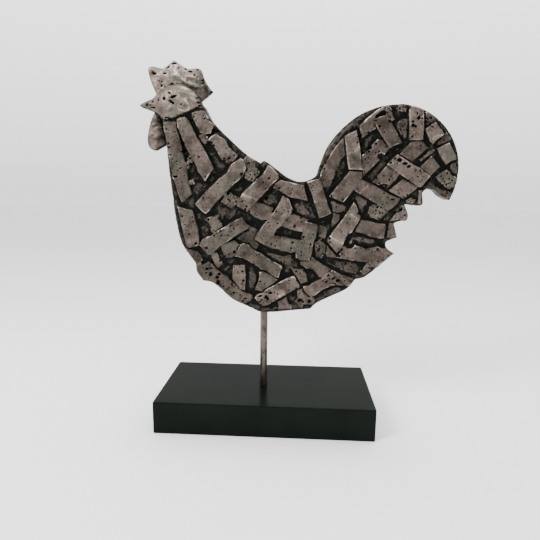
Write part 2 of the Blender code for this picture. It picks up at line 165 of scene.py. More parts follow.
# Strips in the order that they are laid: a later one covers an earlier one where they cross
LOW_STRIPS = strips_of(
    Layer.LOW,
    ((47, 190, 53, 193, 59, 188, 59, 179, 55, 174, 49, 175), 1.0, -0.3, 0.8),
    ((
        -47, 229, -44, 236, -41, 239.5, -37, 238, -33, 235, -28, 233, -31, 226, -36, 222, -42, 226,
    ), 0.9, 0.0, 0.85),
    ((
        -32, 192, -25, 199, -16.5, 204.8, -9, 201, -13, 192, -8, 187, -11, 181, -16, 184, -19, 187,
        -25, 189,
    ), 0.6, -0.3, 0.75),
    ((-69, 293, -67, 289, -62.5, 283, -60, 286.5, -59, 292, -63, 295), 0.8, -0.2),
    ((
        -38, 277, -36, 279, -32, 276.5, -29.5, 274, -32, 270, -36, 266, -40, 266.5, -43, 267.5, -40.5, 270,
    ), 0.9, 0.3),
    ((-24.5, 270, -21.5, 274.5, -17, 274, -13, 268.5, -12, 263.5, -14, 259, -21.3, 260), 1.0, 0.45),
    ((-23, 259.5, -13, 263, -9, 260.5, -8, 257, -12, 252, -14, 248.5, -19, 249.5, -25, 254), 0.8, 0.1),
    ((-84, 262, -82, 270, -76, 276, -73, 272, -76, 265, -80, 260), 1.0),
    ((-79, 245, -79, 250, -74, 251, -73, 246), 1.0),
    ((
        -63, 210.5, -60, 213.3, -57, 214, -52, 214.8, -49.5, 216.5, -48.7, 214.5, -50.5, 212, -48, 209.5,
        -45, 206.5, -45, 204.5, -50, 201, -53.5, 197.5, -57.5, 197, -58.2, 204.5, -60, 208,
    ), 0.4),
    ((-84, 181, -77, 180, -71, 178, -67, 174, -66, 169, -69, 166.5, -74, 166, -79, 172), 0.7, -0.3),
    ((-48, 184, -44.5, 175, -42.5, 171.8, -36, 172.5, -31, 176, -31, 182, -28, 186, -33, 191, -42, 188),),
    ((
        -57.8, 174, -55.5, 177.8, -51, 177.5, -49.5, 174, -48.5, 170, -46, 168, -45.3, 165.5, -48, 163.5,
        -50.5, 160.8, -54, 165,
    ), 0.2),
    ((-16, 228, -9, 229, 6, 223, 5, 214, 1.5, 211.5, -6, 211, -13, 214, -18, 218, -18, 224), 0.1, -0.2),
    ((20, 217.5, 26, 217.5, 41, 212, 39, 205, 36, 199.5, 27, 201, 21, 203, 13, 205.5, 15, 210), 0.1),
    ((60, 187, 59.3, 177, 60.5, 174.7, 70, 174.3, 69.5, 177.5, 64, 183), 0.2),
    ((65.5, 219.3, 71.5, 218, 72, 213.5, 70.5, 210, 67.5, 207.5, 64, 205, 64, 210, 65, 216), 0.3),
    ((101, 226, 105, 228, 109, 227.5, 116, 223, 119, 221, 110, 212.3, 103, 215, 99, 220), 1.0),
    ((
        121.5, 212, 125, 212.3, 130, 213.5, 133, 212.2, 136, 212.8, 138, 215.5, 137.8, 219, 136.5, 224,
        134, 228, 131.5, 227, 133, 224, 130, 221, 127, 220, 125, 217,
    ), 0.5),
    ((147.5, 229, 150.5, 229, 150.5, 243, 147.5, 242), 0.1, 0.2),
    ((136, 229.5, 136, 233, 141, 235.5, 145, 233, 143, 229.5), 1.0),
    ((121, 209.5, 124, 210.5, 126.7, 204, 128.5, 196.2, 122, 195.3, 119, 196.5, 119.5, 203), 0.2),
    ((11, 128, 14, 129, 20, 133.5, 21, 129, 23, 125, 26, 124, 25.5, 120, 12, 119, 12.5, 122),),
    ((
        30.5, 140, 36, 142, 38, 138, 43, 133.5, 48, 133, 50, 130, 47.5, 125, 38, 125, 37, 121.5, 33, 122,
        32, 125, 29, 128, 32, 131.5,
    ), 0.3),
    ((23.7, 164.5, 27.5, 162, 36.5, 162.5, 40, 157, 42, 149, 35, 146.5, 27, 158), 0.1, -0.15),
    ((100, 170, 104, 167, 106, 164, 102, 160, 98, 156.5, 94, 161, 97, 163), 1.0, 0.2),
    ((
        50.5, 252, 52, 259, 56, 267, 61, 276, 66, 283.5, 73, 291.5, 74.5, 281, 75.3, 275.5, 71.5, 271.5,
        69, 264, 66, 257, 63.5, 250, 61.5, 245, 57, 243.5, 52, 245.5,
    ), 0.1, -0.25),
    ((
        102, 249.5, 105.5, 253.5, 110, 259, 114.8, 265.5, 120, 262.3, 127.8, 257.2, 125, 252.5, 121, 248,
        117.5, 244.8, 113, 246, 108, 246.8,
    ), 0.2),
    ((
        127, 276, 132.5, 282.7, 138, 288.3, 143, 288.6, 148.2, 288.2, 150.5, 286, 153.3, 282.8, 148, 277.3,
        143.5, 273.3, 139.2, 269, 133, 272.6,
    ),),
    ((
        146, 271.5, 150, 275, 155, 279.5, 159.5, 282, 160.3, 280, 157.5, 277, 152, 273, 147.5, 269.5,
    ), 0.6, -0.4, 0.6),
    ((157.1, 275.2, 162, 270, 166.5, 265.2, 162, 260.3, 157.4, 256, 152, 260.3, 146.9, 263.8, 153, 270.5),),
    ((175.5, 265.5, 177, 268.5, 180.3, 268.5, 182, 264, 182.4, 259.5, 178.8, 259.2, 176.5, 262.5), 0.3),
    ((170.5, 240.5, 173, 242, 177.5, 241.5, 180, 239.5, 177.5, 235, 175, 234, 171.5, 237), 0.9),
    ((
        122.5, 304, 124, 307, 128, 308.5, 132.5, 309, 133, 300, 133, 293, 130, 291.5, 126.5, 295, 123, 300,
    ), 1.0, -0.2, 0.8),
    ((121.5, 318, 124, 322.5, 131, 321.5, 131.5, 316.5, 127, 315), 1.0, -0.2, 0.7),
    ((149, 316, 155, 313, 160, 309.5, 157, 305.5, 152, 303, 150.3, 303.5, 149.3, 309), 0.8, -0.2, 0.8),
    ((161.5, 288.5, 165, 292, 170.5, 297, 174.5, 290.5, 169.5, 287, 162, 284.5), 0.8, -0.2, 0.7),
    ((
        118.3, 241.5, 123, 245.5, 128, 249.8, 131.5, 253, 135, 251.5, 142, 247.5, 146.5, 244.8, 141, 240,
        136, 236, 133, 233.8, 128, 236.2, 123, 238.7,
    ),),
    ((109, 318.5, 113, 321.5, 116.5, 319, 118.5, 313, 120.5, 308.5, 117.5, 306.5, 112.5, 314.5), 1.0, 0.1),
)

FIRST_MIDDLE_STRIPS = strips_of(
    Layer.MIDDLE,
    ((
        -104, 305, -99.4, 306.4, -90.5, 306, -89.5, 299, -86.8, 291.6, -85, 281, -83.9, 274, -81, 266,
        -79.7, 253, -78.9, 246, -77.2, 241, -75.7, 236.3, -86.5, 227, -89.8, 234.7, -92.4, 244.7,
        -94.5, 250.5, -96.2, 252.6, -96, 257, -98.6, 270.5, -99.7, 284.5, -101.2, 289.2, -103.2, 298,
    ),),
    ((
        -75, 314, -70, 316, -63, 316.5, -59.5, 311, -57, 306, -53.2, 303.5, -54, 300.5, -56.5, 294.5,
        -62, 294, -66.6, 295.1, -71.3, 303.9, -74.8, 310.3,
    ), 0.2),
    ((
        -54.9, 293.3, -51.4, 294.5, -46.7, 291.5, -42, 289, -38.5, 281.5, -36, 279.5, -36.5, 276,
        -40.5, 270, -45.5, 269.5, -50, 276.5, -54, 283, -58, 286.5, -59.5, 289,
    ), 0.1),
    ((
        -91.3, 223.9, -80.2, 221, -76, 220.5, -74.7, 218.4, -72.9, 210.2, -70.3, 201.9, -69.4, 193,
        -69, 187.5, -69.3, 184.6, -74, 183.3, -80.2, 181.5, -82.8, 185.3, -84.3, 190.5, -85.6, 196.7,
        -87.2, 204, -89, 212.2,
    ),),
    ((
        -72, 166, -68, 167.5, -66, 164.8, -59.5, 168.5, -58, 168, -51, 160, -45, 155, -40, 153,
        -38.5, 150.5, -35, 147, -32, 144.5, -26, 139, -20, 135.5, -15, 134.5, -14, 130, -17, 127.5,
        -24, 123.5, -36, 129, -50, 141.5, -57, 146, -66, 147.5, -72.5, 157,
    ), 0.25, -0.1),
    ((5, 246, 12, 251, 36, 245.5, 40, 230.5, 20, 234.5, 12, 240, 5, 243), 0.15),
)

LATE_LOBE = strips_of(
    Layer.LOBE,
    ((5, 243, 12, 241, 15, 236, 12, 229, 7, 226, 4, 232), 0.9, -0.3, 0.35),
)

MIDDLE_STRIPS = strips_of(
    Layer.MIDDLE,
    ((
        0, 197, 6.5, 196.5, 18, 194.5, 25, 193, 36, 191, 36, 183, 31, 180, 24, 178.5, 13, 180.5, 10, 182,
        3, 183, -2, 185.5, -1, 193,
    ), 0.1),
    ((
        -34.5, 165, -28, 165.2, -22.5, 166, -21.7, 155, -22, 147, -22.5, 138, -27, 140, -30.5, 144,
        -36, 150.5, -35.5, 158, -35, 164,
    ),),
    ((
        -8, 158.5, -3, 159.5, 2, 157, 9, 152.5, 11.5, 150.5, 8, 147, -1, 141, -5, 137.5, -12.5, 139.5,
        -11, 144, -8.5, 150,
    ),),
    ((
        45, 175.3, 56, 168, 65, 162.7, 56.5, 153.5, 53, 153.8, 50, 158, 46, 162.5, 40, 163, 33.5, 167,
        34, 170.5, 43.5, 171.5,
    ),),
    ((
        54, 152, 61, 158.5, 66, 162, 75, 158, 82, 155.3, 87, 153.5, 88.5, 151, 83, 145, 78, 146, 72, 146,
        70, 148, 62, 148,
    ), 0.45),
    ((
        70, 174.5, 72, 178, 75.5, 187, 78, 186.5, 80.5, 184.5, 84.5, 184, 88, 188, 90, 187, 95, 186,
        97.5, 184.5, 102, 185, 108, 186, 110, 187, 113, 185.5, 117, 184.8, 120, 185.5, 126.7, 180.2,
        120, 174.3, 115, 170, 109, 165.2, 105, 166, 104, 167.5, 100, 170.3, 85, 172,
    ), 0.2),
    ((
        92, 213, 98, 212.3, 104, 211, 110, 209.5, 117, 209.2, 117.5, 205, 116.5, 198, 116, 195, 113, 194.5,
        108, 195.3, 103, 196, 98, 198.3, 92, 200, 87, 200.7, 88.5, 205, 91, 210,
    ),),
    ((
        87, 302.5, 90, 305, 93.5, 309, 98, 312.6, 104, 317.5, 109.5, 321, 111, 317.5, 106, 315, 102.5, 312,
        101.5, 308, 101, 305, 103.5, 300, 99, 297.5, 94, 293.5, 90, 290.5, 88.5, 296,
    ), 0.1),
    ((
        90.5, 275, 93, 277.2, 97, 280, 100, 285, 103.5, 288.7, 105, 290.5, 109.5, 290, 113, 285.5,
        116.7, 281.3, 112.5, 275.5, 109, 277, 106.5, 276, 105.8, 274, 108.5, 270.8, 103, 265.5, 97.5, 259.5,
        92.8, 254.6, 91.8, 261, 91, 268,
    ), 0.25),
    ((
        83.5, 242, 86.5, 247, 91, 252.5, 95, 250.7, 100, 248.8, 105, 246.3, 110, 243.5, 119, 238.5,
        125, 236, 130, 234.5, 128, 230, 124, 225.5, 118.5, 221.7, 112, 225.5, 106, 229.3, 100, 232.4,
        92, 237,
    ),),
    ((
        132.8, 317, 137, 322, 146.6, 319.5, 147.5, 311, 148.7, 300, 148.2, 289.5, 141.5, 289.2,
        135.1, 289.4, 134.4, 300, 133.4, 309,
    ), 0.05, 0.15),
    ((
        161.7, 281.8, 166, 284.5, 172.8, 287.6, 176, 282, 180.5, 274.5, 180.8, 272, 176, 270, 171.3, 266.5,
        168.5, 270, 165, 275,
    ), 0.0, 0.1),
    ((
        162.5, 255, 166, 258.5, 172.5, 262.5, 175, 260.5, 177.5, 256.5, 180.5, 256, 183.5, 253.5, 183, 249,
        180, 245.5, 175.5, 243.5, 171.5, 246, 168.5, 248.5, 165, 251.5,
    ), 0.3),
)

HIGH_STRIPS = strips_of(
    Layer.HIGH,
    ((
        -89.8, 307.4, -86.6, 309.7, -80.7, 310.3, -77.2, 306.2, -74.8, 301.5, -72.5, 296.8, -70.1, 291.6,
        -67.2, 287.4, -63.7, 281.6, -60.2, 275.1, -56.7, 268.1, -53.4, 261.1, -57.8, 255.8, -60.2, 251.7,
        -61.9, 248.8, -63.7, 249.4, -65.2, 252.3, -69.6, 258.1, -70.7, 262.2, -73.7, 268.7, -76.6, 274,
        -78.9, 276.9, -81.3, 281.6, -83.6, 286.9, -86.6, 294.5, -88.9, 300.3,
    ),),
    ((
        -73.3, 226, -70, 230.2, -60.6, 240.2, -55.3, 244.9, -48.3, 251.9, -40.7, 257.2, -38.6, 261.9,
        -35.4, 266.6, -31.3, 268.9, -27.2, 271.8, -23.7, 269.5, -21.3, 262, -24.9, 253.7, -29, 249.6,
        -33.7, 246, -38.9, 240.8, -43.6, 236.1, -50, 229.6, -55, 224, -60, 218.3, -62.3, 216.4, -65, 218,
    ),),
    ((
        -0.3, 265, 1.5, 264.8, 5.6, 261.3, 10.4, 256, 10.9, 252, 5.6, 247.2, -0.2, 240.8, -5.5, 234.9,
        -13.7, 226.1, -20.3, 218.9, -30.8, 224.8, -29, 231.4, -25.5, 237.2, -23.1, 240.2, -18.4, 244.3,
        -13.1, 249, -11.4, 251.9, -5.5, 255.4, -2, 261.3,
    ), 0.0, 0.1),
    ((
        -69, 186, -67, 190.5, -62, 193.2, -57, 195, -54.5, 197.2, -49.1, 201, -42.9, 204.4, -40.3, 205.8,
        -37.7, 208.1, -32.6, 210.7, -25, 214, -21, 207.5, -16.5, 204.8, -25, 199, -33, 194, -40.3, 189,
        -46.5, 184.8, -51.7, 180.2, -57.5, 174.8, -61, 174.7, -64.6, 179.1, -69.3, 184.6,
    ), 0.05),
    ((
        38.5, 249, 45, 251.5, 51, 252.5, 54, 245, 57, 236, 60, 227, 63.5, 219, 58, 216, 51.3, 213.7,
        49, 220, 46.5, 228, 43, 238, 40, 244,
    ), 0.15),
    ((
        15, 236, 21.5, 232, 25, 222.5, 24, 217, 14, 206, 9.5, 201.5, 7, 196.5, 2, 193, -2.5, 185.5,
        -13.3, 191.8, -9, 200, -1.3, 210.5, 2.5, 213, 7.5, 221.5, 11.5, 229,
    ), 0.15, 0.1),
    ((
        38.5, 210.7, 50, 207.8, 50.7, 205.5, 49.5, 200, 49, 195, 47, 190, 46, 185, 45.5, 180, 44.5, 176,
        43.3, 171.5, 34, 171, 29, 174, 28.5, 179, 33, 186, 33, 190, 35.5, 200, 37, 207,
    ), 0.05),
    ((
        -28, 186, -24, 188, -19, 186.5, -16, 183.5, -10, 179.5, -6, 178, -2, 175, 4, 171, 10, 168,
        15, 165.5, 15.5, 163, 13.5, 158, 12, 152.5, 8, 153.5, 3, 157, -1, 160, -5, 160.5, -11, 164.5,
        -17, 168, -24, 172, -33, 174, -31, 179,
    ), 0.1),
    ((
        37, 144.5, 38, 140, 41, 136.5, 44, 134, 46, 133.3, 49, 134.7, 55, 140, 60, 143, 65, 145.5, 72, 147,
        62, 148.5, 54, 152.5, 47, 149, 43, 145.5,
    ),),
    ((
        -12.5, 131.5, -10, 135.5, -5, 137, 0, 141, 5, 144, 10, 147, 15, 150, 21, 153, 28, 155.5, 31, 150,
        34, 145, 33, 142.5, 30, 141.5, 25, 138.5, 20, 135, 10, 129.5, 3, 125, -1, 123, -4.5, 122.5, -7, 124,
        -10, 128,
    ), 0.15),
    ((
        85, 230.3, 80, 222, 75, 214, 70, 207.5, 65, 200.5, 62, 196, 60.2, 193.3, 60, 190.5, 64, 186,
        67, 182, 70, 179.2, 73, 182, 75.5, 187, 78, 193, 80, 198, 84, 200, 87, 205, 90, 210, 92, 214,
        92.5, 216.5, 89, 219, 89.5, 222, 88.5, 225, 87, 228,
    ), 0.05),
    ((
        73.3, 292.8, 76, 294.5, 84.8, 298.3, 86.5, 293, 88.5, 284, 90.3, 272, 91.9, 260.8, 85, 261,
        78.6, 261.4, 77, 268, 75.8, 276, 74.6, 285,
    ),),
    ((
        101, 305.5, 102, 309, 106.5, 311, 111.5, 312.3, 112.5, 314.4, 117, 306.5, 120.5, 300.5,
        124.5, 293.5, 128.7, 287, 124, 285.2, 120, 283.5, 116.7, 281.3, 112.5, 287, 108.5, 292.8, 104, 300,
    ), 0.0, 0.1),
    ((
        60.5, 235.5, 66, 243, 72, 250, 76, 255.5, 79.8, 260.3, 86, 259.8, 91.7, 259.5, 92.5, 254,
        90.5, 251.5, 86, 246.5, 84, 241.5, 79.5, 235.5, 75, 230, 73.5, 229.8, 67, 232.5,
    ),),
    ((
        114.8, 266.3, 119.5, 271.5, 124.8, 276.3, 130, 273, 137, 269, 141, 266.6, 147, 263.4, 152.5, 259.3,
        157, 255.8, 154, 251.5, 150.5, 247, 148.5, 245, 146, 245.2, 141, 248.5, 134, 253.2, 127.5, 257.3,
        121, 261.9,
    ), 0.05),
    ((
        149.3, 299.8, 153, 302.5, 158.3, 306, 161.5, 302.5, 164.5, 299, 167.5, 294.4, 162, 290.5,
        157, 285.2, 154.5, 288.5, 153.5, 290.5, 150.5, 295.5,
    ), 0.0, 0.15),
)

# Pits of the front: x, z, width, height in mm. A height of 0 stands for a round one
PITS = np.array(
    (
        (-98.8, 285.2, 2.5, 0), (-98, 281.5, 1.8, 0), (-96.7, 274.3, 3, 0.9), (-92.3, 253, 4, 1.8),
        (-90, 259.2, 1, 0), (-95, 261.5, 1, 0), (-94, 263, 1, 0), (-89.5, 246.5, 0.8, 0),
        (-88, 297, 1.2, 0), (-86.7, 292.3, 1.2, 0), (-86.5, 289, 1, 0), (-84, 285, 3, 3.5),
        (-83.5, 278, 4, 2.5), (-81, 273, 1.5, 0), (-81.5, 269, 2, 0), (-76.5, 265.5, 2.5, 0),
        (-64.8, 278.8, 1.2, 0), (-62, 253.5, 1.2, 0), (-64, 256, 0.8, 0), (-60, 256, 0.8, 0),
        (-62.3, 308.5, 1.2, 0), (-59, 308, 1, 0), (-58, 306.8, 1.2, 0), (-73, 310, 1.5, 0),
        (-75, 307, 1.5, 0), (-63.5, 311.5, 0.8, 0), (-57.5, 287, 1.2, 0), (-56, 286, 2, 0),
        (-53.5, 283.5, 1.5, 0), (-50, 277.5, 1, 0), (-43.5, 271, 1.5, 0), (-50, 297.5, 3, 2.5),
        (-54, 298, 2, 0), (-26, 256, 2.5, 0), (-32.3, 250, 1.2, 0), (-49.5, 247, 1, 0),
        (-64.5, 232, 1.2, 0), (-39.5, 237, 2.5, 0), (1.3, 252.3, 1.8, 0), (-4.3, 248.2, 1.3, 0),
        (2.5, 254.5, 0.8, 0), (-1.5, 242.5, 1, 0), (-25, 229.7, 1.3, 0), (-21, 224.5, 1.5, 0),
        (-22.3, 221.5, 2, 0), (-86.3, 214, 1.5, 0), (-84, 205.8, 1, 0), (-79.3, 195.8, 1.5, 0),
        (-73, 186.5, 2, 0), (-75, 209, 1.2, 0), (-76, 213.5, 1, 0), (-53.7, 195, 1.5, 0),
        (-46.5, 195.3, 1.3, 0), (-39.3, 195.3, 1, 0), (-47.5, 200.3, 1.5, 0), (-44.5, 200.8, 1, 0),
        (-61.8, 182.3, 2, 0), (-62.3, 179, 0.8, 0), (-36.5, 205.5, 1.2, 0), (-33.5, 202.3, 1.2, 0),
        (-29.5, 206.8, 1, 0), (-59.8, 211, 1.5, 0), (-57, 198, 1.2, 0), (-43, 174, 1.2, 0),
        (-39, 176, 1.1, 0), (-48.5, 169, 1.3, 0), (-56.5, 167.2, 3, 1), (-61.5, 160.5, 3, 2),
        (-58, 161.5, 3, 1.5), (-62.5, 156.5, 1.5, 0), (-58, 155, 3, 4), (-49, 155.5, 3, 2.5),
        (-51, 152, 3, 2.5), (-50.5, 146.5, 3, 5), (-41, 139.5, 1.2, 0), (-45, 142.5, 1.2, 0),
        (-48, 144, 1.5, 0), (-39, 141, 1.3, 0), (-36, 145, 1.5, 3), (-33.5, 142.5, 1.2, 0),
        (-34, 136, 2, 1.5), (-37, 134.5, 1, 0), (-27.5, 134, 1, 0), (-24.5, 127.5, 1.5, 0),
        (-23, 130, 1, 0), (-21, 130, 1, 0), (11.4, 243, 2.5, 1.5), (8.5, 220, 1.5, 0), (1, 209, 1, 0),
        (27.5, 205.5, 1.2, 3), (25.5, 189.2, 1.5, 0), (24, 183.5, 1.5, 0), (36, 195, 2, 0),
        (34.5, 189.5, 1, 0), (43.5, 187.5, 1.2, 2.5), (34.8, 180, 1.2, 0), (-13.5, 166.5, 1.3, 0),
        (-8, 176.5, 1, 0), (5, 170, 0.8, 0), (-33.5, 178.5, 2, 3), (-25, 158.8, 1.5, 0), (-24, 149, 2, 0),
        (-25, 146, 1, 0), (-33.5, 162.8, 1.2, 0), (-7, 148.7, 2, 1.2), (-6.5, 133.5, 3.5, 1.5),
        (-5, 129.5, 1.5, 0), (-1, 132.5, 2, 3), (1, 131, 2, 3.5), (3.5, 137, 3.5, 2), (0, 138, 1.2, 0),
        (-6.5, 127.5, 1.5, 0), (-5.5, 124, 1.5, 0), (8, 137.5, 1.2, 0), (12.5, 146, 1.2, 0),
        (30, 142, 1.5, 0), (62.5, 156.5, 1.5, 0), (67.5, 153, 3, 1.5), (72, 151, 3, 2.5),
        (74, 154.5, 1, 0), (34, 129.5, 5, 3), (37.5, 128, 1.5, 0), (44, 128.5, 3, 0),
        (29.7, 159.5, 1.5, 0), (88.5, 184.5, 1.2, 0), (94.5, 184.5, 1, 0), (100, 185, 1.2, 0),
        (102, 184, 1, 0), (105, 181.5, 1, 0), (110.5, 184, 2, 0), (113, 182.5, 1, 0), (121, 178, 1.2, 0),
        (116, 173, 1.2, 0), (72.5, 176, 2.5, 0), (75.5, 178.5, 1.5, 0), (75, 183, 1.5, 0),
        (62.5, 194, 2, 0), (63, 190.5, 1.2, 0), (82, 223, 1, 0), (126, 221, 1.5, 0), (131.5, 223, 2, 0),
        (135.5, 218, 1.5, 0), (-1.5, 233, 2.5, 0), (98.5, 282, 2.5, 0), (97.5, 278.5, 2, 0),
        (103.8, 285.8, 1.8, 0), (91.5, 277, 2.5, 1.2), (95.5, 277, 1.2, 0), (107.5, 279, 1, 0),
        (96, 296.3, 1.6, 0), (89.3, 293.5, 1.2, 2.5), (92.5, 277, 1.2, 0), (106.3, 301.8, 2, 0),
        (111, 296.5, 1.8, 1), (115, 307, 2, 0), (116.5, 305.7, 1.5, 0), (102.5, 307, 3, 1.2),
        (86, 287, 1.5, 0), (85.8, 292.6, 1.2, 0), (82.7, 278.7, 0.9, 0), (62.8, 236, 1.8, 0),
        (74, 232.5, 1.5, 0), (114, 239, 1.2, 0), (118, 235, 1.2, 0), (122.5, 233.2, 4, 1),
        (117, 230, 1, 0), (113, 228.5, 1, 0), (106.5, 253.5, 1.4, 0), (115.8, 246.5, 2, 0),
        (112, 247, 4, 1.3), (109, 248.5, 1.5, 0), (118.5, 252, 1.5, 0), (127, 270.7, 4.5, 2.8),
        (132.5, 267.5, 4, 2.3), (136, 264.8, 3.5, 2.2), (122.5, 272.2, 1.8, 0), (118.7, 268.4, 1.8, 0),
        (125, 267.7, 1, 0), (147.3, 261.3, 1.2, 0), (146.5, 284.5, 1.2, 0), (147, 281.5, 1, 0),
        (143, 310, 2.2, 3.2), (146, 309.5, 1.4, 0), (145, 312.5, 1.5, 0.9), (137.5, 306.5, 2.4, 1.4),
        (137.8, 303, 2.6, 3), (140.3, 302, 1.8, 0), (138, 292.8, 1.4, 0), (154.5, 301.8, 1, 0),
        (156.2, 301.5, 1.1, 1.8), (155.5, 289.5, 1, 0), (173, 258.7, 1.5, 0), (167.5, 256, 1.2, 0),
        (173, 248, 1.5, 0), (169.5, 253.5, 1, 0), (175, 253.5, 1.2, 0), (176.5, 249.5, 1, 0),
        (178, 252, 1, 0), (136.5, 238, 1.2, 0), (133.5, 235.5, 1.2, 0), (124.5, 318.5, 1.6, 0),
        (122.5, 320, 1.2, 0), (128.3, 319.5, 1.1, 0), (154.5, 309.8, 1.6, 0), (151, 306, 1.2, 0),
        (173.5, 237.3, 1.6, 0), (174.8, 240, 1.1, 0), (164.5, 249, 1, 0), (169.8, 247.5, 1.2, 0),
        (52, 264, 1.2, 0), (55.5, 262, 1.4, 0), (66.4, 258.8, 1.2, 0), (63.7, 251, 1.3, 0),
    )
)

# Holes of the head and comb: x, z, width, height, turn in degrees
HEAD_HOLES = np.array(
    (
        (-92, 328.7, 5, 1.8, 18), (-94.6, 324.3, 4.6, 1.5, -38), (-92.4, 322.8, 2.2, 1.5, -20),
        (-101.3, 327.2, 2.2, 2.7, 35), (-96, 332.2, 2.2, 1.1, -35), (-120.6, 323, 2.3, 1.6, 40),
        (-114.5, 320, 4.5, 0.9, -3), (-115, 325.5, 1.2, 1.2, 0), (-108, 326.3, 0.9, 2.2, 5),
        (-70.5, 328.3, 1.8, 1.2, 10), (-68.7, 324, 2, 2.2, 0), (-67.5, 321.3, 2.8, 1, 15),
        (-84.5, 321.8, 1.4, 1.1, 0), (-73, 350.3, 1.6, 1.3, 0), (-77, 353.7, 3.6, 1.1, -8),
        (-81.5, 356, 2.2, 1, 20), (-70, 355.4, 2.2, 0.9, 10), (-65.2, 345.7, 2.2, 1.2, 30),
        (-64.6, 343, 2.6, 1, 45), (-57, 334.8, 2.4, 0.9, 35), (-105.8, 340.5, 1.3, 2, 0),
        (-105.5, 344.5, 1, 1, 0), (-112.8, 352, 3.2, 1.4, 0), (-114, 353.5, 1.2, 1, 0),
        (-102, 351.8, 2.4, 1.1, 0), (-98.5, 357.8, 4, 1, 38), (-93, 361.2, 5, 0.9, 8),
        (-108, 345, 1, 0.8, 0), (-95.5, 342.4, 2, 1.2, 0), (-117.5, 322.3, 1.1, 0.9, 0),
        (-99.5, 309.5, 5, 0.7, -8), (-88, 357, 1.1, 0.6, 0),
    )
)


@dataclass(frozen=True)
class Ridge:
    """A raised or sunken line on a face.

    Args:
        points: the line's points in the upright plane, mm.
        width: how wide the line is, mm.
        rise: its height over what it crosses, mm, below 0 for a groove. It also sets the painted highlight
            along a raised line and the painted shade along a groove.
    """

    points: np.ndarray
    width: float
    rise: float


# Folds and grooves of the front's strips, with painted highlights along the folds and painted shade along
# the grooves
RIDGES = (
    Ridge(path(-28, 236, -19, 234.3, -11, 231.5), 2.2, 0.42),
    Ridge(path(1, 264, 5, 260.5, 9, 256), 1.6, 0.35),
    Ridge(path(-57, 290, -51.4, 293.6, -46, 290.6), 1.4, 0.35),
    Ridge(path(-42, 198, -40.5, 202, -39.5, 205), 1.0, 0.3),
    Ridge(path(14, 215, 20, 219, 24, 224), 2.2, 0.35),
    Ridge(path(12.5, 134, 15, 135.2, 17, 136.2), 2.0, 0.5),
    Ridge(path(26, 155.2, 31, 151, 35.5, 145), 1.2, 0.5),
    Ridge(path(82, 219, 86, 216, 90, 213.4), 1.9, 0.45),
    Ridge(path(63, 196, 69, 192.5, 76, 190), 2.4, 0.5),
    Ridge(path(74, 204, 79, 203.4, 84, 203), 1.6, 0.3),
    Ridge(path(90.5, 240, 94, 243.5, 98, 246.5), 1.0, 0.35),
    Ridge(path(77.5, 276.5, 84, 279, 89, 284), 1.8, 0.4),
    Ridge(path(77, 262, 84, 262, 91, 261.5), 1.0, 0.25),
    Ridge(path(82, 276, 86, 272, 89.5, 268), 2.4, -0.35),
    Ridge(path(77, 295.4, 81, 296.8, 85, 297.8), 1.4, 0.35),
    Ridge(path(93, 308, 101, 314.5, 108, 319), 1.4, 0.4),
    Ridge(path(61, 276.5, 66.5, 284, 72.5, 291), 1.2, 0.35),
    Ridge(path(170, 285, 168, 278, 172.5, 271), 1.2, 0.3),
    Ridge(path(156, 290, 160, 293.8, 165, 294), 0.9, 0.4),
    Ridge(path(134.3, 315.5, 134.8, 309, 135.4, 304), 1.6, 0.35),
    Ridge(path(83.5, 189, 85, 191.5, 87.5, 188.5), 1.6, 0.9),
    Ridge(path(66.5, 161, 71, 154, 79, 146.5), 1.1, -0.6),
    Ridge(path(75, 157.5, 82, 153, 86, 150), 1.0, -0.5),
)

# Wrinkles of the head, each with a painted highlight along it
HEAD_RIDGES = (
    Ridge(path(-84, 336.5, -78, 334.6, -72.5, 330.5), 1.0, 0.45),
    Ridge(path(-85, 338.4, -77, 336.5, -70, 331), 0.9, 0.45),
    Ridge(path(-86, 334.3, -80, 332.8, -76, 330.4), 0.9, 0.35),
    Ridge(path(-104, 337.5, -96, 338.8, -88, 338.6, -80, 336.8), 1.0, 0.35),
    Ridge(path(-86, 317, -81, 315.5, -77.5, 317.5, -77.5, 321, -80, 325), 1.6, 0.5),
    Ridge(path(-87, 330, -84, 326, -79, 325), 1.6, 0.4),
    Ridge(path(-97.5, 320, -93, 319.5, -90.5, 321), 0.9, 0.35),
    Ridge(path(-98, 326.5, -95.5, 329.5, -90, 331), 1.2, 0.35),
)

# Folds and grooves of the comb, with painted highlights along the folds and painted shade along the grooves
COMB_RIDGES = (
    Ridge(path(-113, 345, -108, 341.5, -103, 337), 1.4, 0.5),
    Ridge(path(-101, 350, -94, 343, -88, 341), 1.8, 0.45),
    Ridge(path(-95, 357, -88, 350, -80, 344, -70, 341), 3.4, 0.55),
    Ridge(path(-89, 346, -80, 341.5, -71, 337.5), 1.5, -0.6),
    Ridge(path(-92, 349, -85, 348, -79, 344), 1.5, -0.5),
    Ridge(path(-108, 350.5, -98, 350, -88, 351.5), 1.6, 0.4),
    Ridge(path(-103, 355, -97, 359.2, -92, 361.5), 2.2, 0.3),
    Ridge(path(-84, 355, -77, 350, -69, 347), 2.2, 0.45),
    Ridge(path(-80, 347, -73, 346.5, -66, 350), 1.6, -0.4),
    Ridge(path(-116, 350, -112, 348.5, -106, 348.3), 1.2, -0.35),
)


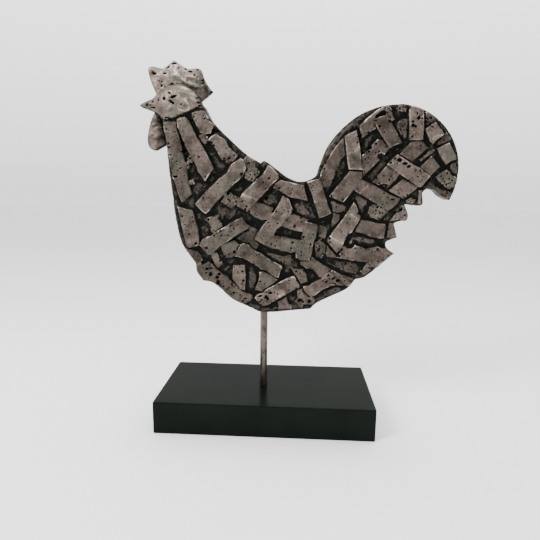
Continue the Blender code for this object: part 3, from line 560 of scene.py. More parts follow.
@dataclass(frozen=True)
class Grid:
    """The square grid of the upright plane that the relief is worked out on.

    Args:
        left: its lowest x, mm.
        right: its highest x, mm.
        bottom: its lowest z, mm.
        top: its highest z, mm.
        cell: its spacing, mm.
    """

    left: float = -133.0
    right: float = 188.0
    bottom: float = 112.0
    top: float = 368.0
    cell: float = 0.55

    def points(self) -> tuple[np.ndarray, np.ndarray]:
        """All grid points.

        Returns:
            Their x and z, one row a column of the grid.
        """
        across = np.arange(self.left, self.right, self.cell)
        upward = np.arange(self.bottom, self.top, self.cell)
        return np.meshgrid(across, upward, indexing="ij")

    def window(self, outline: np.ndarray, margin: float) -> tuple[slice, slice]:
        """The part of the grid around an outline.

        Args:
            outline: points, mm.
            margin: how far the part reaches past them, mm.

        Returns:
            Slices along x and z.
        """
        low = (outline.min(0) - margin - (self.left, self.bottom)) / self.cell
        high = (outline.max(0) + margin - (self.left, self.bottom)) / self.cell + 2
        low = np.maximum(low.astype(int), 0)
        high = high.astype(int)
        return slice(low[0], high[0]), slice(low[1], high[1])


def signed_distance(outline: np.ndarray, x: np.ndarray, z: np.ndarray) -> np.ndarray:
    """Distance to a closed outline: the least over its edges, with its sign from how many
    edges a line towards +x crosses.

    Args:
        outline: corners, mm.
        x: grid points' x.
        z: grid points' z.

    Returns:
        The distance in mm, below 0 inside.
    """
    nearest = np.full(x.shape, np.inf)
    inside = np.zeros(x.shape, bool)
    for (x0, z0), (x1, z1) in zip(outline, np.roll(outline, -1, 0)):
        run, rise = x1 - x0, z1 - z0
        share = np.clip(((x - x0) * run + (z - z0) * rise) / (run * run + rise * rise + 1e-12), 0, 1)
        nearest = np.minimum(nearest, (x - x0 - share * run) ** 2 + (z - z0 - share * rise) ** 2)
        if rise:
            inside ^= ((z0 <= z) != (z1 <= z)) & (x < x0 + (z - z0) * run / rise)
    return np.sqrt(nearest) * np.where(inside, -1, 1)


def line_distance(points: np.ndarray, x: np.ndarray, z: np.ndarray) -> np.ndarray:
    """Distance to an open line, the least over its pieces.

    Args:
        points: the line's points, mm.
        x: grid points' x.
        z: grid points' z.

    Returns:
        The distance in mm.
    """
    nearest = np.full(x.shape, np.inf)
    for (x0, z0), (x1, z1) in zip(points, points[1:]):
        run, rise = x1 - x0, z1 - z0
        share = np.clip(((x - x0) * run + (z - z0) * rise) / (run * run + rise * rise), 0, 1)
        nearest = np.minimum(nearest, (x - x0 - share * run) ** 2 + (z - z0 - share * rise) ** 2)
    return np.sqrt(nearest)


def smooth_step(low: float, high: float, value: np.ndarray) -> np.ndarray:
    """Rises from 0 at low to 1 at high, level at both ends.

    Args:
        low: the value where it starts.
        high: the value where it ends, which may be the lower one.
        value: the values.

    Returns:
        The share, from 0 to 1.
    """
    share = np.clip((value - low) / (high - low), 0, 1)
    return share * share * (3 - 2 * share)


def noise(x: np.ndarray, z: np.ndarray, size: float, seed: int) -> np.ndarray:
    """Gradient noise: each lattice point has a slope of its own, and the four slopes around a
    point are mixed smoothly. The lattice repeats after LATTICE points.

    Args:
        x: points' x, mm.
        z: points' z, mm.
        size: the lattice's spacing, mm.
        seed: which noise.

    Returns:
        Values between about -1 and 1.
    """
    angles = np.random.default_rng(seed).uniform(0, 2 * np.pi, (LATTICE, LATTICE))
    gx, gz = x / size, z / size
    ix, iz = np.floor(gx).astype(int), np.floor(gz).astype(int)
    fx, fz = gx - ix, gz - iz

    def corner(dx: int, dz: int) -> np.ndarray:
        """Height at the points of the slope through one corner of their lattice cell."""
        angle = angles[(ix + dx) % LATTICE, (iz + dz) % LATTICE]
        return np.cos(angle) * (fx - dx) + np.sin(angle) * (fz - dz)

    u = fx**3 * (fx * (fx * 6 - 15) + 10)
    v = fz**3 * (fz * (fz * 6 - 15) + 10)
    low = corner(0, 0) * (1 - u) + corner(1, 0) * u
    high = corner(0, 1) * (1 - u) + corner(1, 1) * u
    return NOISE_GAIN * (low * (1 - v) + high * v)


def rough(x: np.ndarray, z: np.ndarray, size: float, seed: int, octaves: int = 3) -> np.ndarray:
    """Noise with finer noise on it, each octave half as large and half as strong.

    Args:
        x: points' x, mm.
        z: points' z, mm.
        size: the coarsest spacing, mm.
        seed: which noise.
        octaves: how many sizes.

    Returns:
        Values between about -1 and 1.
    """
    total = np.zeros(x.shape)
    for octave in range(octaves):
        total += noise(x, z, size / 2**octave, seed + octave) / 2**octave
    return total / (2 - 0.5 ** (octaves - 1))


def blurred(values: np.ndarray, reach: int) -> np.ndarray:
    """Three running means along each axis, which come close to a bell-shaped blur.

    Args:
        values: a grid of values.
        reach: grid points to each side.

    Returns:
        The blurred grid.
    """
    width = 2 * reach + 1
    for _ in range(3):
        for axis in (0, 1):
            pad = [(0, 0), (0, 0)]
            pad[axis] = (reach + 1, reach)
            total = np.cumsum(np.pad(values, pad, mode="edge"), axis=axis)
            ahead = np.take(total, range(width, total.shape[axis]), axis=axis)
            behind = np.take(total, range(total.shape[axis] - width), axis=axis)
            values = (ahead - behind) / width
    return values


def smooth_line(points: tuple, step: float) -> list[np.ndarray]:
    """A smooth curve through points, its slopes weighted by the points' spacing.

    Args:
        points: (x, z) points, mm.
        step: spacing of the points found, mm.

    Returns:
        Points on the curve without the last one. Two points stay a straight line.
    """
    knots = np.array(points, float)
    if len(knots) == 2:
        return [knots[0]]
    knots = np.vstack((2 * knots[0] - knots[1], knots, 2 * knots[-1] - knots[-2]))
    found = []
    for before, start, end, after in zip(knots, knots[1:], knots[2:], knots[3:]):
        run, lead, trail = (np.linalg.norm(part) for part in (end - start, start - before, after - end))
        slope_in = (end - before) * run / (run + lead)
        slope_out = (after - start) * run / (run + trail)
        share = np.arange(0, 1, 1 / max(1, np.ceil(run / step)))[:, None]
        found.extend(
            start * (2 * share**3 - 3 * share**2 + 1)
            + slope_in * (share**3 - 2 * share**2 + share)
            + end * (3 * share**2 - 2 * share**3)
            + slope_out * (share**3 - share**2)
        )
    return found


@dataclass(frozen=True)
class Outlines:
    """The figure's silhouette as drawn, and how far its edges spread from the drawing.

    Each part is a tuple of smooth stretches that meet at corners.

    Args:
        sight: the point of the drawing that lies before the eye, mm.
        body_spread: by which factor the slab's edge spreads about it.
        thin_spread: the same for comb, wattle, beak and head, which lie further back.
        step: spacing of the points found, mm.
        tail_centre: the middle of the tail's round end, mm.
        tail_radius: its radius, mm.
        tail_turns: where its arc starts and ends, degrees.
        under: the slab from the breast along the belly to the tail's lower end.
        over: the slab from the tail's top along the back to the neck.
        comb: the comb.
        wattle: the wattle.
        beak: the beak alone.
        head: the head and beak as one form.
    """

    sight: tuple[float, float] = (28.3, 240.5)
    body_spread: float = 1.010
    thin_spread: float = 1.017
    step: float = 2.0
    tail_centre: tuple[float, float] = (121.5, 261.0)
    tail_radius: float = 61.6
    tail_turns: tuple[float, float] = (-27.2, 86.5)
    under: tuple = (
        ((-105, 313), (-100.3, 283), (-98.4, 260), (-95.5, 235), (-92.5, 210), (-86.3, 185.5), (-73, 166)),
        ((-73, 166), (-72.2, 158), (-66, 148.3)),
        ((-66, 148.3), (-57, 147), (-50, 142.5), (-36, 130), (-20, 122.5), (-8.5, 117.2)),
        ((-8.5, 117.2), (1, 116.3), (25, 119), (45, 121.2)),
        ((45, 121.2), (50.5, 127), (65, 134.7), (82, 143.8), (89.5, 153)),
        ((89.5, 153), (98.8, 155.8), (126.7, 180.2)),
        ((126.7, 180.2), (119, 185.7), (118, 191.3), (128.7, 196)),
        ((128.7, 196), (124.7, 210)),
        ((124.7, 210), (131, 212.3), (137, 212.8), (137.8, 219), (133.8, 228.5)),
        ((133.8, 228.5), (150.5, 228.1), (150.2, 239.5)),
        ((150.2, 239.5), (154, 243.5), (162, 242.5), (169, 236.5), (176.3, 232.8)),
    )
    over: tuple = (
        ((125.2, 322.5), (105.9, 320), (87.2, 312.6), (70.5, 299.6), (58, 284), (50, 264.2)),
        ((50, 264.2), (46.6, 254.9), (33, 249.4), (20, 253.2), (8.5, 261.3), (-3.5, 269.2), (-7.3, 267.1)),
        ((-7.3, 267.1), (-21.3, 275.3), (-38.3, 290), (-55, 306.5), (-63, 321)),
        ((-63, 321), (-80, 327), (-105, 313)),
    )
    comb: tuple = (
        ((-110, 331.5), (-115, 344), (-117.3, 354.5), (-114, 357.4), (-102.5, 355.2)),
        ((-102.5, 355.2), (-95, 360.5), (-91.8, 362.9), (-87.5, 360.2), (-78, 354.8)),
        ((-78, 354.8), (-70, 355.5), (-65.2, 354.3)),
        ((-65.2, 354.3), (-62, 345), (-57, 337.3), (-53.8, 334)),
        ((-53.8, 334), (-63.3, 326.3), (-74, 320), (-100, 322), (-110, 331.5)),
    )
    wattle: tuple = (
        (
            (-97, 286), (-106, 281), (-113, 278.2), (-119.3, 283), (-119.3, 295), (-112.7, 313.5),
            (-104, 318),
        ),
        ((-104, 318), (-97, 286)),
    )
    beak: tuple = (
        ((-101, 333), (-110, 330.5), (-114, 327.8), (-120, 325.4), (-126.6, 322.3)),
        ((-126.6, 322.3), (-126.8, 321), (-124.5, 319)),
        ((-124.5, 319), (-118, 317), (-112.5, 314.6), (-103, 309)),
        ((-103, 309), (-96, 321), (-101, 333)),
    )
    head: tuple = (
        (
            (-126.5, 321.5), (-120, 325), (-115, 327.3), (-107, 334), (-100, 338.5), (-91, 341),
            (-80, 340), (-70, 333),
        ),
        (
            (-70, 333), (-65, 325), (-64.5, 320.5), (-70, 317), (-77, 313.5), (-84, 310.5), (-90, 308),
            (-97, 306.5),
        ),
        ((-97, 306.5), (-105, 308), (-113, 314.5), (-120, 318), (-126.5, 321.5)),
    )

    def spread(self, points: list[np.ndarray], factor: float) -> np.ndarray:
        """Moves drawn points away from the point before the eye.

        Args:
            points: drawn points, mm.
            factor: how far, as a factor.

        Returns:
            The moved points.
        """
        return self.sight + (np.array(points) - self.sight) * factor

    def body(self) -> np.ndarray:
        """The slab's outline.

        Returns:
            Its points, mm.
        """
        start, end = np.radians(self.tail_turns)
        turns = np.linspace(start, end, int((end - start) * self.tail_radius / self.step), endpoint=False)
        arc = self.tail_centre + self.tail_radius * np.column_stack((np.cos(turns), np.sin(turns)))
        under = [point for stretch in self.under for point in smooth_line(stretch, self.step)]
        over = [point for stretch in self.over for point in smooth_line(stretch, self.step)]
        return self.spread([*under, *arc, *over], self.body_spread)

    def thin(self, stretches: tuple) -> np.ndarray:
        """The outline of the comb, the wattle, the beak or the head.

        Args:
            stretches: its smooth stretches.

        Returns:
            Its points, mm.
        """
        points = [point for stretch in stretches for point in smooth_line(stretch, self.step)]
        return self.spread(points, self.thin_spread)


@dataclass(frozen=True)
class Plate:
    """A flat part of the casting.

    Args:
        rim: half its thickness at the outline, mm.
        full: half its full thickness, mm.
        rounding: how far in from the outline it reaches its full thickness, mm.
        bare: how much of its patina is rubbed off.
        tone: lighter above 0, darker below.
    """

    rim: float
    full: float
    rounding: float
    bare: float
    tone: float

    def height(self, depth: np.ndarray) -> np.ndarray:
        """Quarter-round edge up to the full half thickness, and nothing outside.

        Args:
            depth: distance inside the outline, mm.

        Returns:
            The half thickness, mm.
        """
        share = np.clip(depth / self.rounding, 0, 1)
        rise = self.rim + (self.full - self.rim) * np.sqrt(1 - (1 - share) ** 2)
        return np.where(depth > 0, rise, 0)


@dataclass
class Face:
    """One face of the casting over the grid.

    Args:
        front: whether it is the front one.
        height: height over the middle plane, mm.
        bare: how much patina is rubbed off, from 0 to 1.
        tone: lighter above 0, darker below. On the head, comb and wattle and around folds it also holds
            painted light and shade.
        pitted: how torn and pitted the metal is, from 0 to 1.
        crest: how bright an edge or fold is made, from 0 to 1: on edges partly rubbed wear and partly
            painted highlight, on folds painted highlight.
        hollow: how far a place lies in a hollow, from 0 to 1.
    """

    front: bool
    height: np.ndarray
    bare: np.ndarray
    tone: np.ndarray
    pitted: np.ndarray
    crest: np.ndarray
    hollow: np.ndarray = field(default_factory=lambda: np.zeros(0))


class Casting:
    """The rooster's casting as one closed relief surface.

    Heights are over the middle plane and lengths are in mm. Pairs of seeds and pinholes are for
    the front and the back. Strips come down to strip_rim at the slab's edge, over a width of
    strip_rounding. The outlines are drawn in by inset, so that the mesh stays inside the CAD.
    """

    slab = Plate(5.5, 9.7, 4.1, 0.0, 0.0)
    # The comb's tone is painted light: its metal is painted lighter than the strips', as it stands out and
    # is lit from above
    comb = Plate(1.7, 4.9, 3.4, 0.95, 1.35)
    wattle = Plate(1.6, 6.2, 8.0, 0.8, 0.3)
    beak = Plate(1.2, 7.2, 10.5, 0.95, 0.4)
    comb_corners = ((-120, 322), (-54, 366))
    comb_facets = 26
    head_full = 14.5
    head_over_body = 9.2
    head_rounding = 15.0
    head_bare = 0.95
    beak_tip = -128.6
    beak_length = 31.0
    inset = 0.15
    strip_margin = 3.0
    strip_rim = 8.6
    strip_rounding = 2.6
    tilt = 0.045
    lowest = 0.4
    highest = 14.85
    rim_rows = 4
    rim_least = 1.0
    triangles = 190000
    ground_seeds = (11, 511)
    strip_seeds = (0, 7)
    head_seeds = (901, 951)
    pinhole_seeds = (5, 6)
    pinholes = (620, 160)
    pinhole_depth = 1.3
    pit_depth = 2.6
    head_hole_depth = 2.4

    def __init__(self, grid: Grid, outlines: Outlines) -> None:
        """Works out the outlines' distances over the grid.

        Args:
            grid: the grid of the upright plane.
            outlines: the figure's silhouette.
        """
        self.grid = grid
        self.x, self.z = grid.points()
        x, z = self.x, self.z
        self.body_edge = signed_distance(outlines.body(), x, z) + self.inset
        self.comb_edge = signed_distance(outlines.thin(outlines.comb), x, z) + self.inset
        self.wattle_edge = signed_distance(outlines.thin(outlines.wattle), x, z) + self.inset
        self.beak_edge = signed_distance(outlines.thin(outlines.beak), x, z) + self.inset
        self.head_edge = signed_distance(outlines.thin(outlines.head), x, z) + 2 * self.inset
        edges = (self.body_edge, self.comb_edge, self.wattle_edge, self.beak_edge, self.head_edge)
        self.edge = np.minimum.reduce(edges)
        self.head_part = np.minimum.reduce((self.comb_edge, self.wattle_edge, self.head_edge)) < 0
        LOG.info("grid of %d x %d points", *x.shape)

    def ground(self, front: bool) -> Face:
        """The slab before its strips: a rough ground with a few soft swellings, and a painted highlight
        along its rim.

        Args:
            front: which face.

        Returns:
            The face so far.
        """
        x, z = self.x, self.z
        seed = self.ground_seeds[0 if front else 1]
        lumps = 1 - 2 * np.abs(rough(x, z, 12, seed + 40))
        swell = 0.5 * lumps + 0.3 * rough(x, z, 6, seed) + 0.16 * rough(x, z, 2.2, seed + 20) - 0.3
        height = self.slab.height(-self.body_edge)
        height = np.where(height > 0, height + swell * smooth_step(0, 3, -self.body_edge), 0)
        worn = 0.42 * smooth_step(0.2, 0.9, lumps + 0.7 * rough(x, z, 3.0, seed + 60))
        # Painted highlight: a thin line of bare metal along the slab's outline
        painted_rim_highlight = 0.5 * smooth_step(-1.5, -0.5, self.body_edge + 0.5 * rough(x, z, 4, seed + 70))
        blank = np.zeros(x.shape)
        return Face(front, height, 0.04 + worn + painted_rim_highlight, blank - 0.25, blank.copy(), blank.copy())

    def lay(self, face: Face, strip: Strip, seed: int) -> None:
        """Lays one strip over the face.

        Its edge is worn where it faces up and left, and clean where it faces down and right.
        Its top leans a little, follows what lies under it, and rounds over near its edges. Near
        the slab's own edge it comes down to strip_rim in a quarter round.

        Args:
            face: the face that it is laid on.
            strip: the strip.
            seed: which noise it takes.
        """
        window = self.grid.window(strip.outline, self.strip_margin)
        x, z = self.x[window], self.z[window]
        edge = signed_distance(strip.outline, x, z)
        slope_x, slope_z = np.gradient(edge, self.grid.cell)
        worn = np.clip(0.75 * slope_z - 0.5 * slope_x, 0, 1)
        ragged = (0.08 + 0.3 * worn if face.front else 0.1) + (0.6 * strip.crumbly if face.front else 0.2)
        depth = -edge + ragged * rough(x, z, 1.8, seed)
        cover = smooth_step(-0.4, 0.45, depth)
        under = face.height[window]
        follow = blurred(np.maximum(under, 9.0), 4)
        random = np.random.default_rng(seed + 5)
        tilt_x, tilt_z = random.uniform(-self.tilt, self.tilt, 2)
        centre = strip.outline.mean(0)
        lean = tilt_x * (x - centre[0]) + tilt_z * (z - centre[1])
        lean = np.clip(lean, -0.5, 0.5) + 0.3 * noise(x, z, 13, seed + 5)
        top = strip.layer.top(face.front) + 0.22 * np.clip(follow - 10.6, -1, 2) + lean
        top = top + 0.09 * rough(x, z, 3.2, seed + 9)
        if face.front:
            top = top + 0.85 * strip.crumbly * rough(x, z, 2.0, seed + 13)
        top = top - 0.3 * (1 - np.clip(depth / 1.1, 0, 1)) ** 2
        body_depth = -self.body_edge[window]
        share = np.clip(body_depth / self.strip_rounding, 0, 1)
        over_rim = np.minimum(top, self.highest) - self.strip_rim
        top = self.strip_rim + over_rim * np.sqrt(1 - (1 - share) ** 2)
        cover = np.where(body_depth > -self.grid.cell, cover, 0)
        laid = np.maximum(top, under * (strip.layer is Layer.LOBE))
        face.height[window] = under + (laid - under) * cover
        shown = smooth_step(-0.35, 0.25, depth) * (body_depth > -self.grid.cell)
        crumbs = strip.crumbly * smooth_step(0.05, 0.5, rough(x, z, 2.4, seed + 17)) * face.front
        bare = strip.bare * (1 - 0.8 * crumbs)
        face.bare[window] += (bare - face.bare[window]) * shown
        tone = strip.tone + random.uniform(-0.22, 0.3) + 0.45 * noise(x, z, 13, seed + 3)
        face.tone[window] += (tone - face.tone[window]) * shown
        face.pitted[window] += (strip.crumbly - face.pitted[window]) * shown

    def sink_pits(self, face: Face, pits: np.ndarray, depth: float, sharp: float = 3.0) -> None:
        """Presses steep-sided pits into a face.

        Args:
            face: the face.
            pits: rows of x, z, width, height and turn in degrees.
            depth: how deep, mm.
            sharp: how steep their sides are.
        """
        for x0, z0, width, height, turn in pits:
            span = max(width, height)
            window = self.grid.window(np.array(((x0 - span, z0 - span), (x0 + span, z0 + span))), 0)
            x, z = self.x[window] - x0, self.z[window] - z0
            cos, sin = np.cos(np.radians(turn)), np.sin(np.radians(turn))
            along, across = x * cos + z * sin, z * cos - x * sin
            wobble = 0.18 * noise(x + x0, z + z0, 1.3, 77)
            radius = np.hypot(along / (width / 2 + 0.12), across / (height / 2 + 0.12)) + wobble
            sunk = 1 / (1 + radius ** (2 * sharp))
            deep = np.minimum(depth, 0.7 + 0.9 * min(width, height))
            face.height[window] -= deep * sunk
            face.bare[window] *= 1 - sunk

    def scatter_pits(self, face: Face, count: int, seed: int) -> None:
        """Small pinholes, more of them in torn strips and near worn edges.

        Args:
            face: the face.
            count: how many points are tried.
            seed: which set.
        """
        random = np.random.default_rng(seed)
        inside = (self.body_edge < -1.5) & (face.bare > 0.5)
        chance = inside * (0.02 + 1.3 * face.pitted + 0.22 * (noise(self.x, self.z, 26, seed) > 0.25))
        chance = (chance / chance.sum()).ravel()
        chosen = random.choice(chance.size, count, replace=False, p=chance)
        x = self.x.ravel()[chosen] + random.uniform(-0.3, 0.3, count)
        z = self.z.ravel()[chosen] + random.uniform(-0.3, 0.3, count)
        width = random.uniform(0.45, 1.25, count)
        height = width * random.uniform(0.55, 1.0, count)
        turn = random.uniform(0, 180, count)
        self.sink_pits(face, np.column_stack((x, z, width, height, turn)), self.pinhole_depth, 2.0)

    def draw_ridges(self, face: Face, ridges: tuple[Ridge, ...]) -> None:
        """Raises or sinks soft lines on a face, and paints a highlight on and beside a raised line and
        shade along a sunken one.

        A line's height falls off from its middle as a bell curve of its width, and its tone as
        a wider one.

        Args:
            face: the face.
            ridges: the lines.
        """
        for ridge in ridges:
            points = np.array(smooth_line(tuple(map(tuple, ridge.points)), 1.5) + [ridge.points[-1]])
            window = self.grid.window(points, 5 * ridge.width)
            away = line_distance(points, self.x[window], self.z[window]) / ridge.width
            line = np.exp(-2.2 * away**2) * (face.height[window] > 0)
            face.height[window] += ridge.rise * line
            # Painted light: a raised line gets a painted highlight on its top and a wider one around it, a
            # sunken line a band of painted shade
            face.crest[window] += 1.2 * max(ridge.rise, 0) * line
            face.tone[window] += 1.5 * ridge.rise * np.exp(-0.3 * away**2)

    def add_plate(self, face: Face, plate: Plate, edge: np.ndarray, relief: np.ndarray) -> None:
        """Joins a thin plate to a face, where it stands higher than what is there.

        Args:
            face: the face.
            plate: its thickness and edge.
            edge: distance to its outline, below 0 inside, mm.
            relief: unevenness added to its face, mm.
        """
        height = plate.height(-edge)
        height = np.where(height > 0, height + relief * smooth_step(0, 2.5, -edge), 0)
        higher = height > face.height
        face.height = np.where(higher, height, face.height)
        face.bare = np.where(higher, plate.bare, face.bare)
        face.tone = np.where(higher, plate.tone, face.tone)
        face.pitted = np.where(higher, 0, face.pitted)

    def add_head(self, face: Face) -> None:
        """Joins comb, wattle, beak and the pebble-shaped head.

        The head rises from its outline to its full height in a rounded curve, and its full
        height grows from the beak's tip backwards.

        Args:
            face: the face.
        """
        x, z = self.x, self.z
        seed = self.head_seeds[0 if face.front else 1]
        crumpled = self.facets(seed) + 0.26 * rough(x, z, 3.2, seed + 5)
        before = face.height.copy()
        self.add_plate(face, self.comb, self.comb_edge, crumpled)
        comb = face.height != before
        # Comb: painted shade in its lower right corner, and patches of painted highlight from the noise
        shaded_corner = smooth_step(-84, -73, x) * smooth_step(353, 343, z) * smooth_step(-55, -61, x)
        clouded_and_shaded = face.tone + 0.7 * noise(x, z, 9, seed + 2) - 2.0 * shaded_corner
        face.tone = np.where(comb, clouded_and_shaded, face.tone)
        if face.front:
            self.draw_ridges_on(face, COMB_RIDGES, comb)
        dimpled = 1.2 * rough(x, z, 7, seed + 9) + 0.3 * rough(x, z, 3, seed + 10)
        self.add_plate(face, self.wattle, self.wattle_edge, dimpled)
        wattle = (self.wattle_edge < 0) & (self.body_edge > 0)
        # Wattle: less metal shows towards its upper right, and its metal is painted darker towards the
        # right, painted shade on the side away from the light
        web = smooth_step(-115, -109, x) * smooth_step(298, 306, z)
        face.bare = np.where(wattle, face.bare * (1 - 0.75 * web), face.bare)
        clouded_and_shaded = 0.6 - 1.5 * smooth_step(-116, -106, x) + 0.9 * noise(x, z, 6, seed + 6)
        face.tone = np.where(wattle, clouded_and_shaded, face.tone)
        self.add_plate(face, self.beak, self.beak_edge, 0.12 * rough(x, z, 5, seed + 13))
        share = np.clip(-self.head_edge / self.head_rounding, 0, 1)
        full = 2.5 + (self.head_full - 2.7) * smooth_step(0, self.beak_length, x - self.beak_tip)
        rougher = 0.25 + 0.35 * smooth_step(-95, -82, x)
        bumpy = 0.55 * rough(x, z, 9, seed + 17) + rougher * rough(x, z, 3.5, seed + 19)
        start = self.beak.rim + (self.head_over_body - self.beak.rim) * smooth_step(-2, 3, -self.body_edge)
        start = np.minimum(start, full)
        dome = start + (full - start) * (1 - (1 - share) ** 2.4) ** 0.5
        dome = dome + bumpy * smooth_step(0.1, 0.5, share)
        higher = (share > 0) & (dome > face.height)
        face.height = np.where(higher, dome, face.height)
        face.bare = np.where(higher, self.head_bare, face.bare)
        # Painted light: the head's metal is painted lighter than the strips', as it stands out and is lit
        # from above, and the noise adds patches of painted highlight
        face.tone = np.where(higher, 0.75 + 0.8 * noise(x, z, 12, seed + 21), face.tone)
        face.pitted = np.where(higher, 0, face.pitted)
        if face.front:
            self.draw_ridges_on(face, HEAD_RIDGES, higher)
            self.sink_pits(face, HEAD_HOLES, self.head_hole_depth)

    def facets(self, seed: int) -> np.ndarray:
        """Flat facets of the comb with folds between them, as in crumpled foil.

        A point belongs to the facet whose middle is nearest, and its height is that of the
        facet's leaning plane.

        Args:
            seed: which facets.

        Returns:
            Their unevenness over the grid, mm.
        """
        random = np.random.default_rng(seed)
        window = self.grid.window(np.array(self.comb_corners), 0)
        x, z = self.x[window], self.z[window]
        nearest = np.full(x.shape, np.inf)
        height = np.zeros(x.shape)
        for _ in range(self.comb_facets):
            x0, z0 = random.uniform(*self.comb_corners)
            rise, tilt_x, tilt_z = random.uniform(-1, 1, 3) * (0.4, 0.16, 0.16)
            bend = 2.5 * noise(x, z, 7, seed + 8)
            away = np.hypot(x - x0 + bend, z - z0 - bend)
            plane = rise + tilt_x * (x - x0) + tilt_z * (z - z0)
            height = np.where(away < nearest, plane, height)
            nearest = np.minimum(nearest, away)
        found = np.zeros(self.x.shape)
        found[window] = blurred(height, 1)
        return found

    def draw_ridges_on(self, face: Face, ridges: tuple[Ridge, ...], where: np.ndarray) -> None:
        """Draws lines on one part of a face.

        Args:
            face: the face.
            ridges: the lines.
            where: the part.
        """
        before = face.height.copy()
        self.draw_ridges(face, ridges)
        face.height = np.where(where, face.height, before)

    def finish_face(self, face: Face) -> Face:
        """Keeps the face inside the casting's thickness and finds its hollows and crests.

        A hollow lies below the mean height around it, which on the head is taken closer by, and
        rubbed metal shows less of it. A crest lies above the mean just beside it.

        Args:
            face: the face.

        Returns:
            The same face.
        """
        kept = np.clip(face.height, self.lowest, self.highest)
        face.height = np.where(self.edge < self.grid.cell, kept, 0)
        solid = (self.edge < 0).astype(float)
        close, near, mean = (
            blurred(face.height * solid, reach) / (blurred(solid, reach) + TINY) for reach in (1, 2, 4)
        )
        wide_hollow = (mean - face.height) / 1.6 * smooth_step(0.5, 3.0, -self.body_edge)
        face.hollow = np.clip(np.where(self.head_part, 2.6 * (near - face.height), wide_hollow), 0, 1)
        face.hollow = face.hollow * (1 - 0.72 * np.clip(face.bare, 0, 1))
        # Bright edges where the face stands above its close mean, in patches: partly rubbed wear, partly
        # painted highlight
        patchy = smooth_step(-0.35, 0.6, rough(self.x, self.z, 9, 301))
        face.crest = np.clip(1.1 * (face.height - close) * patchy + face.crest, 0, 1)
        return face

    def make_face(self, front: bool) -> Face:
        """Builds one face.

        Args:
            front: which one. The back is plainer: fewer strips and lower ones, and few pits.

        Returns:
            The face.
        """
        face = self.ground(front)
        lobes = tuple(Strip(Layer.LOBE, shape, crumbly=0.4, tone=-0.25, bare=0.66) for shape in LOBES)
        lobes += tuple(Strip(Layer.LOBE, shape, crumbly=0.1, tone=-0.3, bare=0.42) for shape in DIM_LOBES)
        strips = (*lobes, *LOW_STRIPS, *FIRST_MIDDLE_STRIPS, *LATE_LOBE, *MIDDLE_STRIPS, *HIGH_STRIPS)
        if not front:
            strips = tuple(strip for strip in strips if strip.layer in (Layer.MIDDLE, Layer.HIGH))
        side = 0 if front else 1
        for index, strip in enumerate(strips):
            self.lay(face, strip, 31 * index + self.strip_seeds[side])
        if front:
            self.draw_ridges(face, RIDGES)
            round_pits = np.where(PITS[:, 3:4] == 0, PITS[:, 2:3], PITS[:, 3:4])
            turns = (PITS[:, 0:1] * 37) % 40 - 20
            self.sink_pits(face, np.hstack((PITS[:, :3], round_pits, turns)), self.pit_depth)
        self.scatter_pits(face, self.pinholes[side], self.pinhole_seeds[side])
        self.add_head(face)
        LOG.info("%s face: %d strips", "front" if front else "back", len(strips))
        return self.finish_face(face)

    def build(self) -> bpy.types.Object:
        """Makes the casting's mesh and the values that its finish reads.

        Grid points at the silhouette move onto it. Cells with all corners inside become quads
        and those with three become triangles. Each rim edge gets a column of quads from the
        front face round to the back one.

        Returns:
            The casting's object.
        """
        front, back = self.make_face(True), self.make_face(False)
        cell = self.grid.cell
        used = self.edge < 0.45 * cell
        number = np.where(used, np.cumsum(used.ravel()).reshape(used.shape) - 1, -1)
        corners = np.stack((number[:-1, :-1], number[1:, :-1], number[1:, 1:], number[:-1, 1:]), -1)
        corners = corners.reshape(-1, 4)
        missing = (corners < 0).sum(1)
        quads = corners[missing == 0]
        part = corners[missing == 1]
        tris = part[part >= 0].reshape(-1, 3)
        edges = [np.stack((quads[:, k], quads[:, (k + 1) % 4]), 1) for k in range(4)]
        edges += [np.stack((tris[:, k], tris[:, (k + 1) % 3]), 1) for k in range(3)]
        edges = np.concatenate(edges)
        count = int(used.sum())
        forward = edges[:, 0] * count + edges[:, 1]
        backward = edges[:, 1] * count + edges[:, 0]
        rim = edges[~np.isin(forward, backward)]
        on_rim = np.zeros(count, bool)
        on_rim[rim.ravel()] = True

        slope_x, slope_z = np.gradient(self.edge, cell)
        length = np.hypot(slope_x, slope_z) + TINY
        away = np.where(on_rim, self.edge[used], 0)
        normal = np.stack(((slope_x / length)[used], (slope_z / length)[used]), 1)
        flat = np.stack((self.x[used], self.z[used]), 1) - away[:, None] * normal

        front_rim, back_rim = self.rim_height(front), self.rim_height(back)
        front_y = -np.where(on_rim, front_rim[used], front.height[used])
        back_y = np.where(on_rim, back_rim[used], back.height[used])
        points = [
            np.column_stack((flat[:, 0], front_y, flat[:, 1])),
            np.column_stack((flat[:, 0], back_y, flat[:, 1])),
        ]
        rim_points = np.flatnonzero(on_rim)
        place = np.full(count, -1)
        place[rim_points] = np.arange(len(rim_points))
        rows = [rim_points]
        for row in range(1, self.rim_rows):
            share = row / self.rim_rows
            y = front_y[rim_points] * (1 - share) + back_y[rim_points] * share
            at = flat[rim_points]
            dent = 0.12 + 0.16 * rough(at[:, 0] + at[:, 1], y, 4.5, 71)
            at = at - np.clip(dent, 0, 0.4)[:, None] * normal[rim_points]
            rows.append(2 * count + (row - 1) * len(rim_points) + np.arange(len(rim_points)))
            points.append(np.column_stack((at[:, 0], y, at[:, 1])))
        rows.append(count + rim_points)
        start, end = place[rim[:, 0]], place[rim[:, 1]]
        sides = [
            np.stack((low[end], low[start], high[start], high[end]), 1) for low, high in zip(rows, rows[1:])
        ]
        quads = np.concatenate((quads, (quads + count)[:, ::-1], *sides))
        tris = np.concatenate((tris, (tris + count)[:, ::-1]))
        piece = mesh_piece("casting", np.concatenate(points) * MM, (quads, tris))
        thin_out(piece, self.triangles)
        self.give_values(piece, front, back)
        return piece

